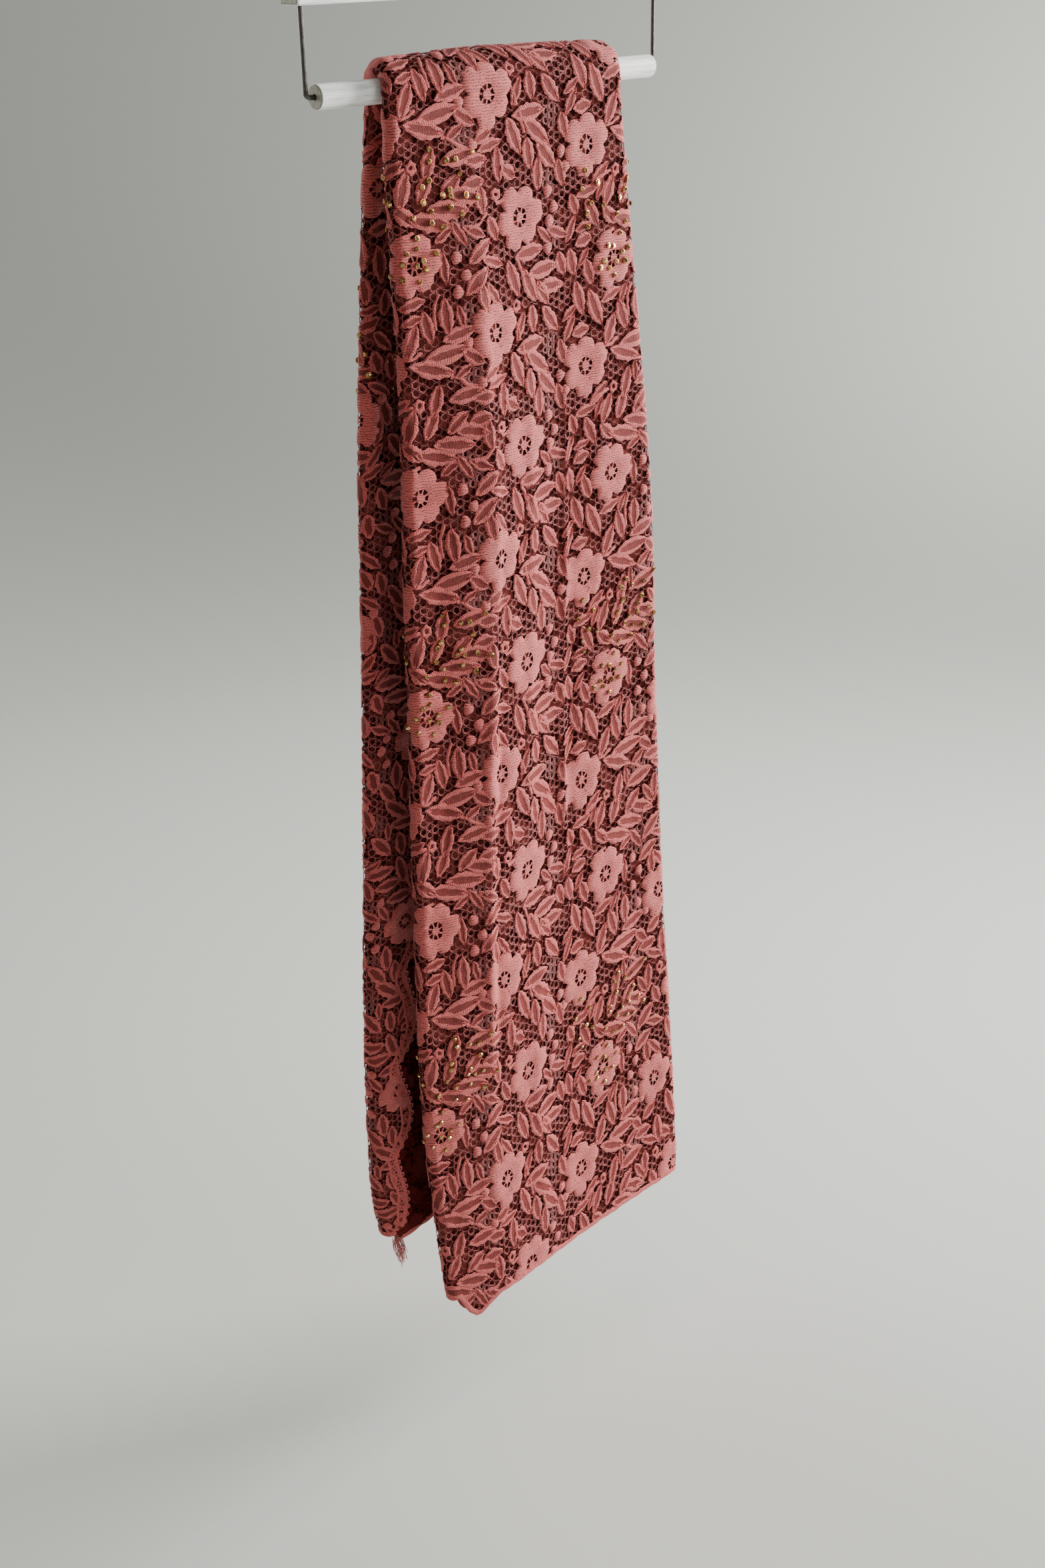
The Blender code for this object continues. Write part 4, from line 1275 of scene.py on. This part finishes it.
# gold stones
stones = {
    # how far they keep off the free selvage and the other edges, how they tilt and differ
    "selvageGap": 6, "edgeGap": 8, "tilt": 0.16, "uneven": 0.14,
    "radius": 1.8, "cup": 0.7, "height": 1.0, "lift": 0.9, "scatter": 1.7,
    # round a flower's eye, in millimetres to the right and down from the flower
    "flower": ((0, -8), (7, -4), (8, 4), (2, 9), (-6, 7), (-9, 0), (-5, -9), (3, -14), (13, -7),
               (-13, 6), (1, 1)),
    # how far along each leaf of the spray above it
    "leaf": (0.1, 0.5, 0.9),
    "beside": ((-22, -22), (-26, -30), (-20, -38), (-28, -44), (-17, -50), (-24, -56), (-12, -34)),
    "everyOther": 2,
}


def makeStone():
    # a faceted stone in a low gold cup
    radius, height = stones["radius"], stones["height"]
    deselectAll()
    bpy.ops.mesh.primitive_cone_add(vertices=8, radius1=radius * 0.86, radius2=radius * 0.45,
                                    depth=height, location=(0, 0, height / 2 + 0.35))
    gem = sized(bpy.context.object)
    selectVerts(gem, lambda co: co.z < 0.4)
    bpy.ops.mesh.delete(type="ONLY_FACE")
    bpy.ops.object.mode_set(mode="OBJECT")
    gemStitch = takeStitch(gem)
    bpy.ops.mesh.primitive_circle_add(vertices=8, radius=radius, fill_type="NOTHING")
    cup = bpy.context.object
    bpy.ops.object.mode_set(mode="EDIT")
    for grow, rise in ((0.97, stones["cup"]), (0.84, 0.05), (0.9, -0.25)):
        drawIn(grow, rise)
    bpy.ops.object.mode_set(mode="OBJECT")
    return gemStitch, takeStitch(cup)


def stonePlaces():
    # flat places of the stones, for every other flower of the rising columns
    for _, baseX, baseY, column in columnBases():
        if column != "rising":
            continue
        flowerX, flowerY, _ = repeat["flowers"][1]
        above = [leaf for leaf in repeat["rising"]["leaves"] if leaf[0] > 24 and 12 < leaf[1] < 50]
        for j in range(-6, 6, stones["everyOther"]):
            top = baseY + j * repeat["height"]
            for x, y in stones["flower"] + stones["beside"]:
                yield baseX + flowerX + x, top + flowerY + y
            for x, y, turn, length in above:
                angle = math.radians(turn)
                for part in stones["leaf"]:
                    reach = (part - 0.5) * length
                    yield baseX + x + reach * math.cos(angle), top + y + reach * math.sin(angle)


def makeStones(gold, glass):
    gem, cup = makeStone()
    flat = np.array(list(stonePlaces()))
    order = np.arange(len(flat))
    flat += stones["scatter"] * np.column_stack([np.sin(order * 2.4 + 1), np.sin(order * 3.7)])
    run = clothRun(flat[:, 0], flat[:, 1])
    across = clothAcross(flat[:, 0], run)
    low, high = acrossLimits(run)
    gap = stones["edgeGap"]
    keep = (across > low + stones["selvageGap"]) & (across < high - gap)
    keep &= (run < hemRun(across, 1) - gap) & (run > hemRun(across, -1) + gap)
    across, run = across[keep], run[keep]
    # each stone's own right, up and outward directions
    centre = clothPoint(across, run, stones["lift"])
    right = unit(clothPoint(across + 1, run, stones["lift"]) - centre)
    out = unit(np.cross(clothPoint(across, run + 1, stones["lift"]) - centre, right))
    up = np.cross(out, right)
    pieces = []
    for side, wanted in (("front", run >= 0), ("back", run < 0)):
        rows = emptyRows()
        for k in np.flatnonzero(wanted):
            tilt = stones["tilt"] * np.array((math.sin(2.1 * k), math.cos(1.3 * k)))
            for stitch, slot in ((cup, 0), (gem, 1)):
                p = stitch["points"] * (1 + stones["uneven"] * math.sin(1.9 * k))
                p[:, :2] = turned(p[:, :2], math.degrees(0.7 * k))
                p[:, 2] += p[:, 0] * tilt[0] + p[:, 1] * tilt[1]
                hung = p[:, :1] * right[k] + p[:, 1:2] * up[k] + p[:, 2:] * out[k]
                addRows(rows, centre[k] + millimetre * hung, stitch["triangles"],
                        slots=np.full(len(stitch["triangles"]), slot))
        item = meshFrom(f"stones_{side}", joined(rows), [gold, glass])
        item.data.polygons.foreach_set("use_smooth", np.zeros(len(item.data.polygons), bool))
        print(item.name, int(wanted.sum()), "stones")
        pieces.append(item)
    return pieces


def metalMaterial(name, low, high, ends, scale, detail, roughness, coat=0.0):
    # a metal whose colour and gloss change a little from place to place
    material, tree, shader = newMaterial(name, {"Metallic": 1.0, "Coat Weight": coat})
    place = addNode(tree, "ShaderNodeTexCoord").outputs["Object"]
    marks = noise(tree, place, scale, detail)
    connect(tree, shader, colourRamp(tree, marks, low, high, ends),
            mapRange(tree, marks, 0.3, 0.7, roughness, roughness + 0.12))
    return material


# the hanger's paint: x of the dowel's middle, half the dowel's and the bar's lengths, and a height
# between the two, in metres
paintwork = {
    "dowelMiddle": 0.0016, "dowelHalf": 0.1289, "barHalf": 0.1407, "between": -0.1,
    "shade": (212, 219, 215), "white": (255, 255, 253),
    "wood": ((112, 108, 94), (182, 178, 160)),
}


def paintMaterial():
    # brushed white paint with glossy streaks, bare wood where the dowel and the bar are cut
    material, tree, shader = newMaterial("white painted wood", {"Roughness": 0.4})
    place = addNode(tree, "ShaderNodeTexCoord").outputs["Object"]
    drawn = addNode(tree, "ShaderNodeMapping", Vector=place, Scale=(35.0, 420.0, 420.0)).outputs[0]
    streaks = noise(tree, drawn, 1.0, 4.0, 0.6)
    colour = colourRamp(tree, streaks, paintwork["shade"], paintwork["white"], (0.36, 0.52))
    axes = addNode(tree, "ShaderNodeSeparateXYZ", i0=place).outputs
    fromMiddle = mathNode(tree, "SUBTRACT", axes[0], paintwork["dowelMiddle"])
    beyond = mathNode(tree, "GREATER_THAN", mathNode(tree, "ABSOLUTE", fromMiddle),
                      paintwork["dowelHalf"])
    below = mathNode(tree, "LESS_THAN", axes[2], paintwork["between"])
    barEnd = mathNode(tree, "GREATER_THAN", mathNode(tree, "ABSOLUTE", axes[0]),
                      paintwork["barHalf"])
    bare = mathNode(tree, "MAXIMUM", mathNode(tree, "MULTIPLY", beyond, below), barEnd)
    wood = colourRamp(tree, noise(tree, place, 900.0, 3.0), *paintwork["wood"])
    connect(tree, shader, mixColours(tree, bare, colour, wood),
            mapRange(tree, streaks, 0.35, 0.65, 0.5, 0.22), (streaks, 0.35, 0.0006))
    return material


# putting it together
coursesGroup = makeCoursesGroup()
yarnGroup = makeYarnGroup()
addCamera()
addStudio()
print("camera, light and floor")

light, dark = yarn["light"], yarn["dark"]
satin = laceMaterial("satin courses", 1, 1.6, light, dark, 0.72, 0.75)
ribs = laceMaterial("leaf ribs", 0, 1.5, light, dark, 0.74, 0.65, useRun=True, chevron=0.5)
panel = laceMaterial("leaf mesh", 0, 1.0, yarn["panelLight"], yarn["panelHollowShade"], 0.55, 0.7,
                     gloss=0.2)
cordage = laceMaterial("twisted cord", 0, 1.1, light, dark, 0.8, 0.5, useRun=True)
netting = laceMaterial("net thread", 1, 0.9, yarn["mid"], dark, 0.7, 0.3)
closeNet = laceMaterial("close net", 1, 0.9, yarn["mid"], dark, 0.5, 0.3)
# a darker copy of the yarn: painted shade on the back drop's second layer
shadePaintedLace = laceMaterial("lace in painted shade inside the packet", 1, 1.6, (112, 26, 24), (40, 4, 4), 0.6, 0.6,
                      gloss=0.05)
fluff = laceMaterial("loose fibres", 1, 0.9, (226, 128, 122), (160, 66, 62), 0.75, 0.2)
# the shell's lace under the stitches, its own pattern in painted shade
shade = paintedShadeMaterial("lace in painted shade", (40, 5, 6), (92, 34, 32), (114, 50, 46))
# a darker copy, painted shade for the shell's inner face and rims
inside = paintedShadeMaterial("lace in deeper painted shade inside the folds", (30, 3, 4), (72, 24, 22), (82, 34, 30))

shawl = makeShell([shade, inside])
motifs = [satin, ribs, panel, cordage, shadePaintedLace]
flowerRows, leafRows, netRows = layRepeat()
lace = splitStretches(coverCloth(flowerRows, 4), "lace_flowers", motifs)
lace += splitStretches(coverCloth(leafRows, 4), "lace_leaves", motifs)
lace += splitStretches(coverCloth(netRows, 2), "lace_net", [netting, closeNet, shadePaintedLace])

trims = [makeHem("hem_front", 1, cordage), makeHem("hem_back", -1, cordage)]
picot = makeRinglet()
trims.append(makeBorder("border_front", 8, packet["frontSelvageEnd"] - 3, cordage, picot))
trims.append(makeBorder("border_back", -packet["overRod"] - packet["backSelvageEnd"] + 3, 0,
                        cordage, picot))
rng = np.random.default_rng(7)
tuft = edging["tuft"]
count = tuft["threads"]
starts = np.array(tuft["at"]) + rng.normal(0, 1, (count, 3)) * (1.6, 1.2, 1.2)
reaches = np.column_stack([rng.normal(4, 1.5, count), rng.normal(-1, 1.2, count),
                           -tuft["length"] * rng.uniform(0.5, 1.05, count)])
bends = rng.normal(0, 1.6, (count, 3)) * (1, 1, 0.3)
trims.append(makeThreads("loose_threads", starts, reaches, bends, fluff))
print("hems, border and loose threads")

facets = (0.35, 0.65)
gold = metalMaterial("gold cups", (150, 98, 44), (206, 156, 88), facets, 420.0, 2.0, 0.25)
glass = metalMaterial("champagne stones", (150, 106, 62), (240, 206, 158), facets, 420.0, 2.0,
                      0.08, coat=0.6)
gems = makeStones(gold, glass)

paint = paintMaterial()
wire = metalMaterial("chromed wire", (66, 62, 60), (112, 108, 105), (0.0, 1.0), 500.0, 3.0, 0.3)
finishes = {"rod": paint, "top_bar": paint, "hook": wire, "arm_left": wire, "arm_right": wire}
for name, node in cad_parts.items():
    node.data.materials.clear()
    node.data.materials.append(finishes.get(name, shade))

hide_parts("shawl_front", "shawl_over_rod", "shawl_back", "selvage_front",
            "selvage_over_rod", "selvage_back", "shawl_front_inner_layers",
            "shawl_over_rod_inner_layers", "shawl_back_inner_layers")
for piece in [shawl] + lace + trims + gems:
    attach(piece, "root")
